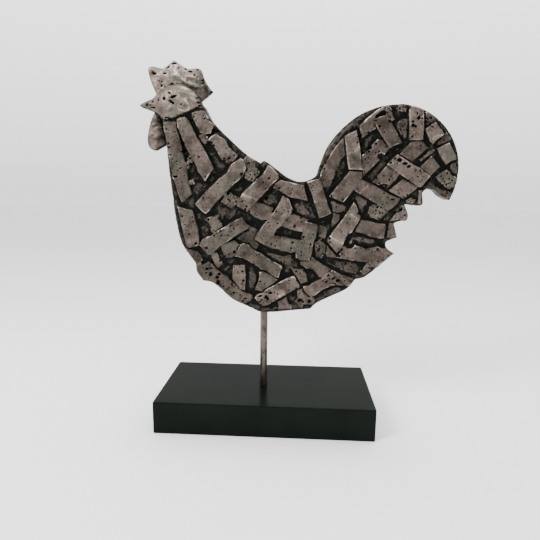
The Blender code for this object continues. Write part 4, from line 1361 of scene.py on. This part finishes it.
    def rim_height(self, face: Face) -> np.ndarray:
        """Half the casting's thickness at its silhouette, from the parts that reach it.

        Args:
            face: the face.

        Returns:
            The height over the grid, mm.
        """
        near = 0.6 * self.grid.cell
        slab = self.slab.rim + (self.strip_rim - self.slab.rim) * smooth_step(0.3, 0.7, face.bare)
        found = np.where(self.body_edge < near, slab, 0)
        plates = (self.comb, self.wattle, self.beak)
        for plate, edge in zip(plates, (self.comb_edge, self.wattle_edge, self.beak_edge)):
            found = np.maximum(found, np.where(edge < near, plate.rim, 0))
        return np.maximum(found, self.rim_least)

    def give_values(self, piece: bpy.types.Object, front: Face, back: Face) -> None:
        """Stores bare, hollow, crest and tone at each point of the mesh.

        Each is read between the four grid points around it. The slab's rim between the two
        faces keeps more of its patina.

        Args:
            piece: the casting.
            front: values for points before the middle plane.
            back: values for points behind it.
        """
        mesh = piece.data
        points = np.zeros(len(mesh.vertices) * 3, np.float32)
        mesh.vertices.foreach_get("co", points)
        points = points.reshape(-1, 3) / MM
        column = (points[:, 0] - self.grid.left) / self.grid.cell
        row = (points[:, 2] - self.grid.bottom) / self.grid.cell
        ic = np.clip(column.astype(int), 0, self.x.shape[0] - 2)
        ir = np.clip(row.astype(int), 0, self.x.shape[1] - 2)
        u, v = column - ic, row - ir

        def sample(values: np.ndarray) -> np.ndarray:
            """Reads a face's values at the mesh's points.

            Args:
                values: one value a grid point.

            Returns:
                One value a mesh point.
            """
            low = values[ic, ir] * (1 - u) + values[ic + 1, ir] * u
            high = values[ic, ir + 1] * (1 - u) + values[ic + 1, ir + 1] * u
            return low * (1 - v) + high * v

        half = np.abs(points[:, 1])
        wall = smooth_step(-1.2, -0.4, sample(self.body_edge)) * smooth_step(5.4, 4.2, half)
        wall = wall * (sample(self.head_part.astype(float)) < 0.5)
        for name in ("bare", "hollow", "crest", "tone"):
            value = np.where(points[:, 1] < 0, sample(getattr(front, name)), sample(getattr(back, name)))
            if name == "bare":
                value = value * (1 - 0.6 * wall)
            attribute = mesh.attributes.new(name, "FLOAT", "POINT")
            attribute.data.foreach_set("value", value.astype(np.float32))
        LOG.info("casting: %d points, %d faces", len(mesh.vertices), len(mesh.polygons))


def mesh_piece(name: str, points: np.ndarray, faces: tuple[np.ndarray, ...]) -> bpy.types.Object:
    """Makes an object from whole arrays.

    Args:
        name: the piece's name.
        points: rows of x, y, z in metres.
        faces: arrays of quads or triangles, as point numbers.

    Returns:
        The object, smooth shaded.
    """
    mesh = bpy.data.meshes.new(name)
    mesh.vertices.add(len(points))
    mesh.vertices.foreach_set("co", points.astype(np.float32).ravel())
    corners = np.concatenate([array.ravel() for array in faces])
    sizes = np.concatenate([np.full(len(array), array.shape[1]) for array in faces if len(array)])
    mesh.loops.add(len(corners))
    mesh.loops.foreach_set("vertex_index", corners.astype(np.int32))
    mesh.polygons.add(len(sizes))
    mesh.polygons.foreach_set("loop_start", (np.cumsum(sizes) - sizes).astype(np.int32))
    mesh.update(calc_edges=True)
    mesh.validate()
    mesh.shade_smooth()
    piece = bpy.data.objects.new(name, mesh)
    bpy.context.scene.collection.objects.link(piece)
    return piece


def thin_out(piece: bpy.types.Object, triangles: int) -> None:
    """Collapses the flattest edges until about this many triangles are left.

    Args:
        piece: the object, whose mesh is replaced.
        triangles: how many.
    """
    mesh = piece.data
    mesh.calc_loop_triangles()
    ratio = triangles / len(mesh.loop_triangles)
    if ratio >= 1:
        return
    step = piece.modifiers.new("thin out", "DECIMATE")
    step.ratio = ratio
    graph = bpy.context.evaluated_depsgraph_get()
    lighter = bpy.data.meshes.new_from_object(piece.evaluated_get(graph))
    piece.modifiers.clear()
    piece.data = lighter
    bpy.data.meshes.remove(mesh)
    lighter.name = piece.name
    lighter.shade_smooth()


def ring_surface(name: str, rings: np.ndarray, start: tuple, end: tuple) -> bpy.types.Object:
    """A closed surface through rings of equal point counts, with a fan of triangles at each end.

    Its faces point outwards where the rings turn left and each lies further up, or where they
    turn left and go inwards on top.

    Args:
        name: the piece's name.
        rings: array of ring, point and (x, y, z), in mm.
        start: the point that closes the first ring, mm.
        end: the point that closes the last ring, mm.

    Returns:
        The object.
    """
    count, around = rings.shape[:2]
    first = np.arange(around)
    after = (first + 1) % around
    steps = np.arange(count - 1)[:, None] * around
    quads = np.stack((steps + first, steps + after, steps + around + after, steps + around + first), -1)
    last, pole = (count - 1) * around, count * around
    low_fan = np.stack((after, first, np.full(around, pole)), -1)
    high_fan = np.stack((last + first, last + after, np.full(around, pole + 1)), -1)
    points = np.concatenate((rings.reshape(-1, 3), (start, end))) * MM
    return mesh_piece(name, points, (quads.reshape(-1, 4), np.concatenate((low_fan, high_fan))))


@dataclass(frozen=True)
class Rod:
    """The round rod between block and figure.

    Args:
        x: where its axis stands, mm.
        radius: mm.
        bottom: its lower end, mm.
        top: its upper end, mm.
        dents: how far its cast surface goes in, mm.
        end: how long its rounded ends are, mm.
        end_inset: how far they round in, mm.
        around: points round it.
        levels: points along it.
    """

    x: float
    radius: float
    bottom: float
    top: float
    dents: float = 0.13
    end: float = 0.4
    end_inset: float = 0.3
    around: int = 96
    levels: int = 220

    def build(self) -> bpy.types.Object:
        """A surface of turn and height whose radius has long shallow dents.

        Returns:
            The rod's object.
        """
        turns = np.linspace(0, 2 * np.pi, self.around, endpoint=False)
        heights = np.linspace(self.bottom, self.top, self.levels)
        turn, height = np.meshgrid(turns, heights)
        waves = noise(5 * np.cos(turn) + 0.11 * height, 5 * np.sin(turn) + 0.23 * height, 2.4, 5)
        fine = noise(9 * np.cos(turn) + height, 9 * np.sin(turn) - height, 1.6, 8)
        radius = self.radius - self.dents * (0.35 + 0.35 * waves + 0.2 * fine).clip(0, 1)
        near_end = np.minimum(height - self.bottom, self.top - height).clip(0, self.end) / self.end
        radius = radius - self.end_inset * (1 - near_end) ** 2
        rings = np.stack((self.x + radius * np.cos(turn), radius * np.sin(turn), height), -1)
        LOG.info("rod: %d rings", len(rings))
        return ring_surface("rod", rings, (self.x, 0, self.bottom), (self.x, 0, self.top))


@dataclass(frozen=True)
class Block:
    """The rectangular block with eased edges and the rod's hole.

    Args:
        length: along x, mm.
        depth: along y, mm.
        height: along z, mm.
        hole_x: where the hole's axis stands, mm.
        hole_radius: mm.
        hole_bottom: how high the blind hole's bottom lies, mm.
        ease: radius of its eased edges, mm.
        corner: radius of its upright edges, mm.
        least_corner: the same where the outline runs furthest in, mm.
        lip: how wide the hole's eased edge is, mm.
        collar: how far from the hole the top's first ring runs, mm.
        along: points along a side.
        steps: points over an eased edge.
    """

    length: float
    depth: float
    height: float
    hole_x: float
    hole_radius: float
    hole_bottom: float
    ease: float = 1.1
    corner: float = 1.6
    least_corner: float = 0.15
    lip: float = 0.3
    collar: float = 1.2
    along: int = 48
    steps: int = 7

    def outline(self, inset: float) -> np.ndarray:
        """A rectangle with round corners, with the same number of points for any inset.

        Args:
            inset: how far inside the block's sides it runs, mm.

        Returns:
            Points (x, y), mm.
        """
        half_x, half_y = self.length / 2 - inset, self.depth / 2 - inset
        corner = max(self.corner - inset, self.least_corner)
        arc = np.linspace(0, np.pi / 2, 9)
        centres = ((1, 1, 0), (-1, 1, 1), (-1, -1, 2), (1, -1, 3))
        pieces = []
        for sign_x, sign_y, quarter in centres:
            turn = arc + quarter * np.pi / 2
            centre = (sign_x * (half_x - corner), sign_y * (half_y - corner))
            pieces.append(centre + corner * np.column_stack((np.cos(turn), np.sin(turn))))
        share = np.linspace(0, 1, self.along)[1:-1, None]
        sides = [a[-1] * (1 - share) + b[0] * share for a, b in zip(pieces, pieces[1:] + pieces[:1])]
        return np.concatenate([part for pair in zip(pieces, sides) for part in pair])

    def build(self) -> bpy.types.Object:
        """Rings from the underside up the sides, over the top and down into the hole. They are
        listed the other way and turned round at the end.

        Returns:
            The block's object.
        """
        outer = self.outline(0)
        inner = self.outline(self.ease)
        turn = np.arctan2(inner[:, 1], inner[:, 0] - self.hole_x)
        circle = np.column_stack((np.cos(turn), np.sin(turn)))
        centre = np.array((self.hole_x, 0.0))

        def level(points: np.ndarray, z: float) -> np.ndarray:
            """A ring of points at one height."""
            return np.column_stack((points, np.full(len(points), z)))

        rings = [level(centre + circle * self.hole_radius, self.hole_bottom)]
        rings.append(level(centre + circle * self.hole_radius, self.height - self.lip))
        rings.append(level(centre + circle * (self.hole_radius + self.lip), self.height))
        collar = centre + circle * (self.hole_radius + self.collar)
        for share in (0, 0.15, 0.35, 0.6, 0.85):
            rings.append(level(collar * (1 - share) + inner * share, self.height))
        for angle in np.linspace(0, np.pi / 2, self.steps):
            inset = self.ease * (1 - np.sin(angle))
            rings.append(level(self.outline(inset), self.height - self.ease * (1 - np.cos(angle))))
        for share in (0.25, 0.5, 0.75):
            z = (self.height - self.ease) * (1 - share) + self.ease * share
            rings.append(level(outer, z))
        for angle in np.linspace(np.pi / 2, 0, self.steps):
            inset = self.ease * (1 - np.sin(angle))
            rings.append(level(self.outline(inset), self.ease * (1 - np.cos(angle))))
        rings.append(level(inner * 0.5, 0.0))
        LOG.info("block: %d rings", len(rings))
        return ring_surface("block", np.stack(rings[::-1]), (0, 0, 0), (self.hole_x, 0, self.hole_bottom))


def linear(code: str) -> tuple[float, float, float, float]:
    """Turns an sRGB hex colour into linear light.

    Args:
        code: six hex digits.

    Returns:
        Red, green, blue and an alpha of 1.
    """
    parts = np.array([int(code[k : k + 2], 16) for k in (0, 2, 4)]) / 255
    light = np.where(parts <= 0.04045, parts / 12.92, ((parts + 0.055) / 1.055) ** 2.4)
    return (*light.tolist(), 1.0)


def add_node(
    tree: bpy.types.NodeTree, kind: str, settings: dict | None = None, links: dict | None = None
) -> bpy.types.Node:
    """Adds one shader node.

    Args:
        tree: the material's tree.
        kind: the node's type.
        settings: attributes of the node, or values of its inputs by name or number.
        links: output sockets by the name or number of the input they feed.

    Returns:
        The node.
    """
    node = tree.nodes.new(kind)
    for key, value in (settings or {}).items():
        if isinstance(key, str) and hasattr(node, key):
            setattr(node, key, value)
        else:
            node.inputs[key].default_value = value
    for key, socket in (links or {}).items():
        tree.links.new(socket, node.inputs[key])
    return node


@dataclass(frozen=True)
class MetalFinish:
    """Antiqued cast metal.

    Real antiqued metal is a rough casting coated with a dark patina that is then rubbed off its
    raised parts, so its colours and its gloss both go with how bare a place is.

    Args:
        metal: the rubbed metal's colour.
        warm: its warmer, darker stain.
        green: its greenish stain.
        bright: the colour of edges rubbed bright, also used for the painted highlights on edges and folds.
        patina: the black ground.
        patina_light: the ground's worn places.
        metallic: how metallic rubbed metal is. Below 1, as some of the coat is left on it.
        roughness: the smoothest metal's roughness.
        sand: size of the cast surface's sandy grain, mm, coarse enough to show in the render.
        grain: size of its pocks, mm.
        stain: size of the warm stains, mm.
        patch: size of the greenish patches, mm.
    """

    metal: str = "5E544E"
    warm: str = "463D38"
    green: str = "4C4C42"
    bright: str = "B4A79E"
    patina: str = "040503"
    patina_light: str = "37382F"
    metallic: float = 0.75
    roughness: float = 0.4
    sand: float = 0.8
    grain: float = 2.4
    stain: float = 9.0
    patch: float = 32.0


class Finishes:
    """The materials, each made once."""

    def __init__(self, metal: MetalFinish) -> None:
        """Keeps the metal's finish.

        Args:
            metal: colours, gloss and grain of the antiqued metal.
        """
        self.metal = metal

    def blank(self, name: str) -> tuple[bpy.types.Material, bpy.types.NodeTree, bpy.types.Node]:
        """A new material with only its shader and output.

        Args:
            name: the material's name.

        Returns:
            The material, its node tree and the shader.
        """
        material = bpy.data.materials.new(name)
        material.use_nodes = True
        tree = material.node_tree
        return material, tree, tree.nodes["Principled BSDF"]

    def mix(
        self, tree: bpy.types.NodeTree, share: Source, first: Source, second: Source, blend: str = "MIX"
    ) -> bpy.types.NodeSocket:
        """Mixes two colours by a share.

        Args:
            tree: the node tree.
            share: a socket or a number.
            first: a socket or a linear colour.
            second: a socket or a linear colour.
            blend: how they mix.

        Returns:
            The colour socket.
        """
        settings, links = {"data_type": "RGBA", "blend_type": blend}, {}
        for key, value in ((0, share), (6, first), (7, second)):
            if isinstance(value, bpy.types.NodeSocket):
                links[key] = value
            else:
                settings[key] = value
        return add_node(tree, "ShaderNodeMix", settings, links).outputs[2]

    def math(
        self, tree: bpy.types.NodeTree, operation: str, first: Source, second: Source, third: Source = 0.0
    ) -> bpy.types.NodeSocket:
        """One sum of sockets or numbers.

        Args:
            tree: the node tree.
            operation: which sum.
            first: a socket or a number.
            second: a socket or a number.
            third: a socket or a number.

        Returns:
            The value socket.
        """
        settings, links = {"operation": operation}, {}
        for key, value in ((0, first), (1, second), (2, third)):
            if isinstance(value, bpy.types.NodeSocket):
                links[key] = value
            else:
                settings[key] = value
        return add_node(tree, "ShaderNodeMath", settings, links).outputs[0]

    def ramp(
        self, tree: bpy.types.NodeTree, value: bpy.types.NodeSocket, low: float, high: float
    ) -> bpy.types.NodeSocket:
        """A smooth rise from 0 at low to 1 at high.

        Args:
            tree: the node tree.
            value: the socket it reads.
            low: where the rise starts.
            high: where it ends.

        Returns:
            The value socket.
        """
        settings = {"interpolation_type": "SMOOTHSTEP", "From Min": low, "From Max": high}
        return add_node(tree, "ShaderNodeMapRange", settings, {"Value": value}).outputs[0]

    def speckle(
        self,
        tree: bpy.types.NodeTree,
        where: bpy.types.NodeSocket,
        size: float,
        detail: float = 2.0,
        roughness: float = 0.5,
    ) -> bpy.types.NodeSocket:
        """Noise of a real size.

        Args:
            tree: the node tree.
            where: the coordinates' socket, in metres.
            size: the size of its patches, mm.
            detail: how many finer layers.
            roughness: how strong they are.

        Returns:
            The value socket, about 0.5 in the middle.
        """
        settings = {"Scale": 1 / (size * MM), "Detail": detail, "Roughness": roughness}
        return add_node(tree, "ShaderNodeTexNoise", settings, {"Vector": where}).outputs[0]

    def antiqued_metal(self) -> bpy.types.Material:
        """Patinated cast metal: a black, faintly green ground, strips rubbed to dull warm grey
        and bright edges and folds, which is what makes the crossed strips stand out. The bright edges are
        partly rubbed wear and partly painted highlight, the bright folds painted highlights.

        Returns:
            The material.
        """
        material, tree, shader = self.blank("patinated_cast_metal")
        finish = self.metal
        where = add_node(tree, "ShaderNodeTexCoord").outputs["Object"]
        bare, hollow, crest, tone = (
            add_node(tree, "ShaderNodeAttribute", {"attribute_name": name}).outputs["Fac"]
            for name in ("bare", "hollow", "crest", "tone")
        )
        fine = self.speckle(tree, where, finish.sand, 3.0, 0.6)
        small = self.speckle(tree, where, finish.grain, 3.0, 0.6)
        middle = self.speckle(tree, where, finish.stain, 3.0, 0.55)
        broad = self.speckle(tree, where, finish.patch)

        # Rubbed metal: stains, then tone, pocks and sand as light and dark, then bright edges. Tone also
        # holds painted light and shade, and the bright edges are partly rubbed wear and partly painted
        # highlight
        warmth = self.ramp(tree, middle, 0.42, 0.66)
        stained = self.mix(tree, warmth, linear(finish.metal), linear(finish.warm))
        greenish = self.math(tree, "MULTIPLY", self.ramp(tree, broad, 0.44, 0.72), 0.75)
        stained = self.mix(tree, greenish, stained, linear(finish.green))
        lift = self.math(tree, "MULTIPLY_ADD", tone, 0.72, 0.96)
        grain = self.math(tree, "MULTIPLY_ADD", small, 1.3, 0.35)
        lift = self.math(tree, "MULTIPLY", lift, grain)
        sand = self.math(tree, "MULTIPLY_ADD", fine, 1.6, 0.22)
        lift = self.math(tree, "MULTIPLY", lift, sand)
        gray = add_node(tree, "ShaderNodeCombineColor", {}, {0: lift, 1: lift, 2: lift}).outputs[0]
        stained = self.mix(tree, 1.0, stained, gray, "MULTIPLY")
        # Bright metal where crest is high: rubbed wear on edges, painted highlights on edges and folds
        rubbed = self.math(tree, "MULTIPLY_ADD", small, 0.9, crest)
        rubbed = self.ramp(tree, rubbed, 0.7, 1.5)
        stained = self.mix(tree, rubbed, stained, linear(finish.bright))

        # Ground: black patina, paler where it is worn thin
        worn_ground = self.math(tree, "MULTIPLY_ADD", small, 0.7, middle)
        worn_ground = self.math(tree, "MULTIPLY_ADD", hollow, -0.3, worn_ground)
        ground = self.mix(
            tree, self.ramp(tree, worn_ground, 0.8, 1.1), linear(finish.patina), linear(finish.patina_light)
        )

        # Where metal shows: where it is rubbed bare and doesn't lie in a hollow, with a sandy edge
        shown = self.math(tree, "MULTIPLY_ADD", hollow, -1.9, bare)
        shown = self.math(tree, "MULTIPLY_ADD", fine, 0.34, shown)
        shown = self.math(tree, "ADD", shown, -0.17)
        shown = self.ramp(tree, shown, 0.22, 0.62)
        colour = self.mix(tree, shown, ground, stained)
        tree.links.new(colour, shader.inputs["Base Color"])
        metallic = self.math(tree, "MULTIPLY", shown, finish.metallic)
        tree.links.new(metallic, shader.inputs["Metallic"])
        gloss = self.math(tree, "MULTIPLY_ADD", fine, 0.16, finish.roughness)
        gloss = self.math(tree, "MULTIPLY_ADD", rubbed, -0.08, gloss)
        tree.links.new(gloss, shader.inputs["Roughness"])
        shader.inputs["Specular IOR Level"].default_value = 0.08
        grain_height = self.math(tree, "MULTIPLY_ADD", small, 0.6, fine)
        self.bumps(tree, shader, grain_height, 0.7, 0.25)
        return material

    def bumps(
        self,
        tree: bpy.types.NodeTree,
        shader: bpy.types.Node,
        height: bpy.types.NodeSocket,
        strength: float,
        depth: float,
    ) -> None:
        """Gives a material fine bumps.

        Args:
            tree: the node tree.
            shader: the material's shader.
            height: the socket with their height, in depths.
            strength: how much of them the light sees.
            depth: how deep they are where the socket's value changes by 1, mm.
        """
        bump = add_node(
            tree, "ShaderNodeBump", {"Strength": strength, "Distance": depth * MM}, {"Height": height}
        )
        tree.links.new(bump.outputs[0], shader.inputs["Normal"])

    def rod_metal(self) -> bpy.types.Material:
        """Dull cast rod: warm silver with dark specks left in its pits, so it reads as the same
        casting as the figure, rubbed smoother. The specks are stretched along the rod.

        Returns:
            The material.
        """
        material, tree, shader = self.blank("rubbed_cast_rod")
        where = add_node(tree, "ShaderNodeTexCoord").outputs["Object"]
        mapping = add_node(tree, "ShaderNodeMapping", {"Scale": (1, 1, 0.35)}, {"Vector": where})
        stretched = mapping.outputs[0]
        specks = self.speckle(tree, stretched, 1.6, 3.0, 0.65)
        patches = self.speckle(tree, stretched, 7.0, 2.0)
        base = self.mix(tree, self.ramp(tree, patches, 0.4, 0.7), linear("675D56"), linear("4D4540"))
        dark = self.math(tree, "MULTIPLY_ADD", patches, 0.35, specks)
        dark = self.ramp(tree, dark, 0.74, 0.86)
        colour = self.mix(tree, dark, base, linear("1A1815"))
        tree.links.new(colour, shader.inputs["Base Color"])
        shader.inputs["Metallic"].default_value = 0.85
        gloss = self.math(tree, "MULTIPLY_ADD", specks, 0.2, 0.24)
        tree.links.new(gloss, shader.inputs["Roughness"])
        self.bumps(tree, shader, specks, 0.6, 0.15)
        return material

    def black_paint(self) -> bpy.types.Material:
        """Satin black lacquer with a faint green cast: a soft reflection of the rod, a fine
        orange-peel surface and a few pale specks of dust.

        Returns:
            The material.
        """
        material, tree, shader = self.blank("satin_black_lacquer")
        where = add_node(tree, "ShaderNodeTexCoord").outputs["Object"]
        peel = self.speckle(tree, where, 1.4, 2.0)
        cloud = self.speckle(tree, where, 38.0, 3.0, 0.6)
        dust = self.speckle(tree, where, 0.5, 1.0)
        colour = self.mix(tree, self.ramp(tree, cloud, 0.35, 0.7), linear("070D08"), linear("0B120C"))
        colour = self.mix(tree, self.ramp(tree, dust, 0.74, 0.8), colour, linear("1C201E"))
        tree.links.new(colour, shader.inputs["Base Color"])
        shader.inputs["Coat Roughness"].default_value = 0.22
        shader.inputs["Coat Weight"].default_value = 0.13
        shader.inputs["Roughness"].default_value = 0.5
        shader.inputs["Specular IOR Level"].default_value = 0.0
        self.bumps(tree, shader, peel, 0.25, 0.04)
        return material

    def floor(self) -> bpy.types.Material:
        """Matt white sweep, so that the dark block and the strips stand clear.

        Returns:
            The material.
        """
        material, tree, shader = self.blank("matt_white_sweep")
        where = add_node(tree, "ShaderNodeTexCoord").outputs["Object"]
        tint = self.mix(tree, self.speckle(tree, where, 400.0), linear("F6F6F6"), linear("F9F9F9"))
        tree.links.new(tint, shader.inputs["Base Color"])
        shader.inputs["Roughness"].default_value = 0.85
        return material


@dataclass(frozen=True)
class Softbox:
    """A rectangular studio light.

    Args:
        name: its name.
        place: where it stands, mm.
        size: width and height, mm.
        power: watts.
    """

    name: str
    place: tuple[float, float, float]
    size: tuple[float, float]
    power: float


@dataclass(frozen=True)
class Studio:
    """Floor, sky and lights. The sky is bright behind the figure and dim before it.

    Args:
        aim: the point that the lights face, mm.
        boxes: the lights.
        behind: the sky's strength behind the figure.
        horizon: its strength there down at the horizon.
        before: its strength before the figure.
        floor_half: half the floor's width, mm.
    """

    aim: tuple[float, float, float] = (20.0, 0.0, 215.0)
    boxes: tuple[Softbox, ...] = (
        Softbox("key", (-750, -650, 950), (420, 420), 19),
        Softbox("top", (200, -100, 1100), (800, 600), 8),
        Softbox("fill", (800, -900, 300), (700, 700), 2),
    )
    behind: float = 3.0
    horizon: float = 1.62
    before: float = 0.5
    floor_half: float = 6000.0

    def build(self, finishes: Finishes) -> None:
        """Sets up the studio.

        Args:
            finishes: the materials.
        """
        half = self.floor_half
        corners = np.array(((-half, -half, 0), (half, -half, 0), (half, half, 0), (-half, half, 0)), float)
        floor = mesh_piece("floor", corners * MM, (np.array(((0, 1, 2, 3),)),))
        floor.data.materials.append(finishes.floor())
        for box in self.boxes:
            light = bpy.data.lights.new(box.name, "AREA")
            light.shape = "RECTANGLE"
            light.size, light.size_y = box.size[0] * MM, box.size[1] * MM
            light.energy = box.power
            lamp = bpy.data.objects.new(box.name, light)
            bpy.context.scene.collection.objects.link(lamp)
            lamp.location = Vector(box.place) * MM
            towards = Vector(self.aim) - Vector(box.place)
            lamp.rotation_euler = towards.to_track_quat("-Z", "Y").to_euler()
        world = bpy.data.worlds.new("studio")
        bpy.context.scene.world = world
        world.use_nodes = True
        tree = world.node_tree
        background = tree.nodes["Background"]
        where = add_node(tree, "ShaderNodeTexCoord").outputs["Generated"]
        parts = add_node(tree, "ShaderNodeSeparateXYZ", {}, {"Vector": where})
        settings = {
            "interpolation_type": "SMOOTHSTEP",
            "From Min": -0.25,
            "From Max": 0.35,
            "To Min": self.before,
            "To Max": self.behind,
        }
        strength = add_node(tree, "ShaderNodeMapRange", settings, {"Value": parts.outputs["Y"]}).outputs[0]
        settings = {"From Min": 0.0, "From Max": 0.5, "To Min": self.horizon / self.behind, "To Max": 1.0}
        rise = add_node(tree, "ShaderNodeMapRange", settings, {"Value": parts.outputs["Z"]}).outputs[0]
        strength = add_node(
            tree, "ShaderNodeMath", {"operation": "MULTIPLY"}, {0: strength, 1: rise}
        ).outputs[0]
        background.inputs["Color"].default_value = (1, 1, 1, 1)
        tree.links.new(strength, background.inputs["Strength"])
        LOG.info("studio: %d lights", len(self.boxes))


@dataclass(frozen=True)
class PhotoCamera:
    """The camera that took the photograph, worked out from the block's corners.

    Args:
        place: where it stands, mm.
        azimuth: how far it stands round to the right of straight ahead, degrees.
        elevation: how far it looks down, degrees.
        roll: how far it is rolled, degrees.
        focal_pixels: its focal length in pixels of the picture.
        picture_pixels: the picture's width.
        sensor: width of Blender's film, mm.
    """

    place: tuple[float, float, float] = (28.34, -470.15, 240.53)
    azimuth: float = 3.161
    elevation: float = 9.872
    roll: float = 0.620
    focal_pixels: float = 456.86
    picture_pixels: float = 540.0
    sensor: float = 36.0

    def build(self) -> bpy.types.Object:
        """Places the camera.

        Returns:
            The camera's object.
        """
        azimuth, elevation, roll = np.radians((self.azimuth, self.elevation, self.roll))
        back = np.array(
            (
                np.sin(azimuth) * np.cos(elevation),
                -np.cos(azimuth) * np.cos(elevation),
                np.sin(elevation),
            )
        )
        right = np.cross((0, 0, 1), back)
        right /= np.linalg.norm(right)
        up = np.cross(back, right)
        turned_right = np.cos(roll) * right + np.sin(roll) * up
        turned_up = -np.sin(roll) * right + np.cos(roll) * up
        data = bpy.data.cameras.new("photo")
        data.sensor_width = self.sensor
        data.lens = self.focal_pixels / self.picture_pixels * self.sensor
        camera = bpy.data.objects.new("photo", data)
        matrix = np.eye(4)
        matrix[:3, 0], matrix[:3, 1], matrix[:3, 2] = turned_right, turned_up, back
        matrix[:3, 3] = np.array(self.place) * MM
        camera.matrix_world = Matrix(matrix.tolist())
        bpy.context.scene.collection.objects.link(camera)
        bpy.context.scene.camera = camera
        return camera


def main() -> None:
    """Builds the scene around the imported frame."""
    logging.basicConfig(level=logging.INFO, format="%(message)s")
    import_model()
    finishes = Finishes(MetalFinish())

    casting = Casting(Grid(), Outlines()).build()
    casting.data.materials.append(finishes.antiqued_metal())
    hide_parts("rooster")

    low, high = (np.array(corner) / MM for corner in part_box("post"))
    rod_x, rod_radius, rod_bottom = (low[0] + high[0]) / 2, (high[0] - low[0]) / 2, low[2]
    rod = Rod(rod_x, rod_radius, rod_bottom, high[2]).build()
    rod.data.materials.append(finishes.rod_metal())
    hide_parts("post")

    low, high = (np.array(corner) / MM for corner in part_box("base"))
    block = Block(*(high - low), rod_x, rod_radius + ROD_GAP, rod_bottom - ROD_GAP).build()
    block.data.materials.append(finishes.black_paint())
    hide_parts("base")

    for piece in (casting, rod, block):
        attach(piece, "root")
    Studio().build(finishes)
    PhotoCamera().build()


if __name__ == "__main__":
    main()
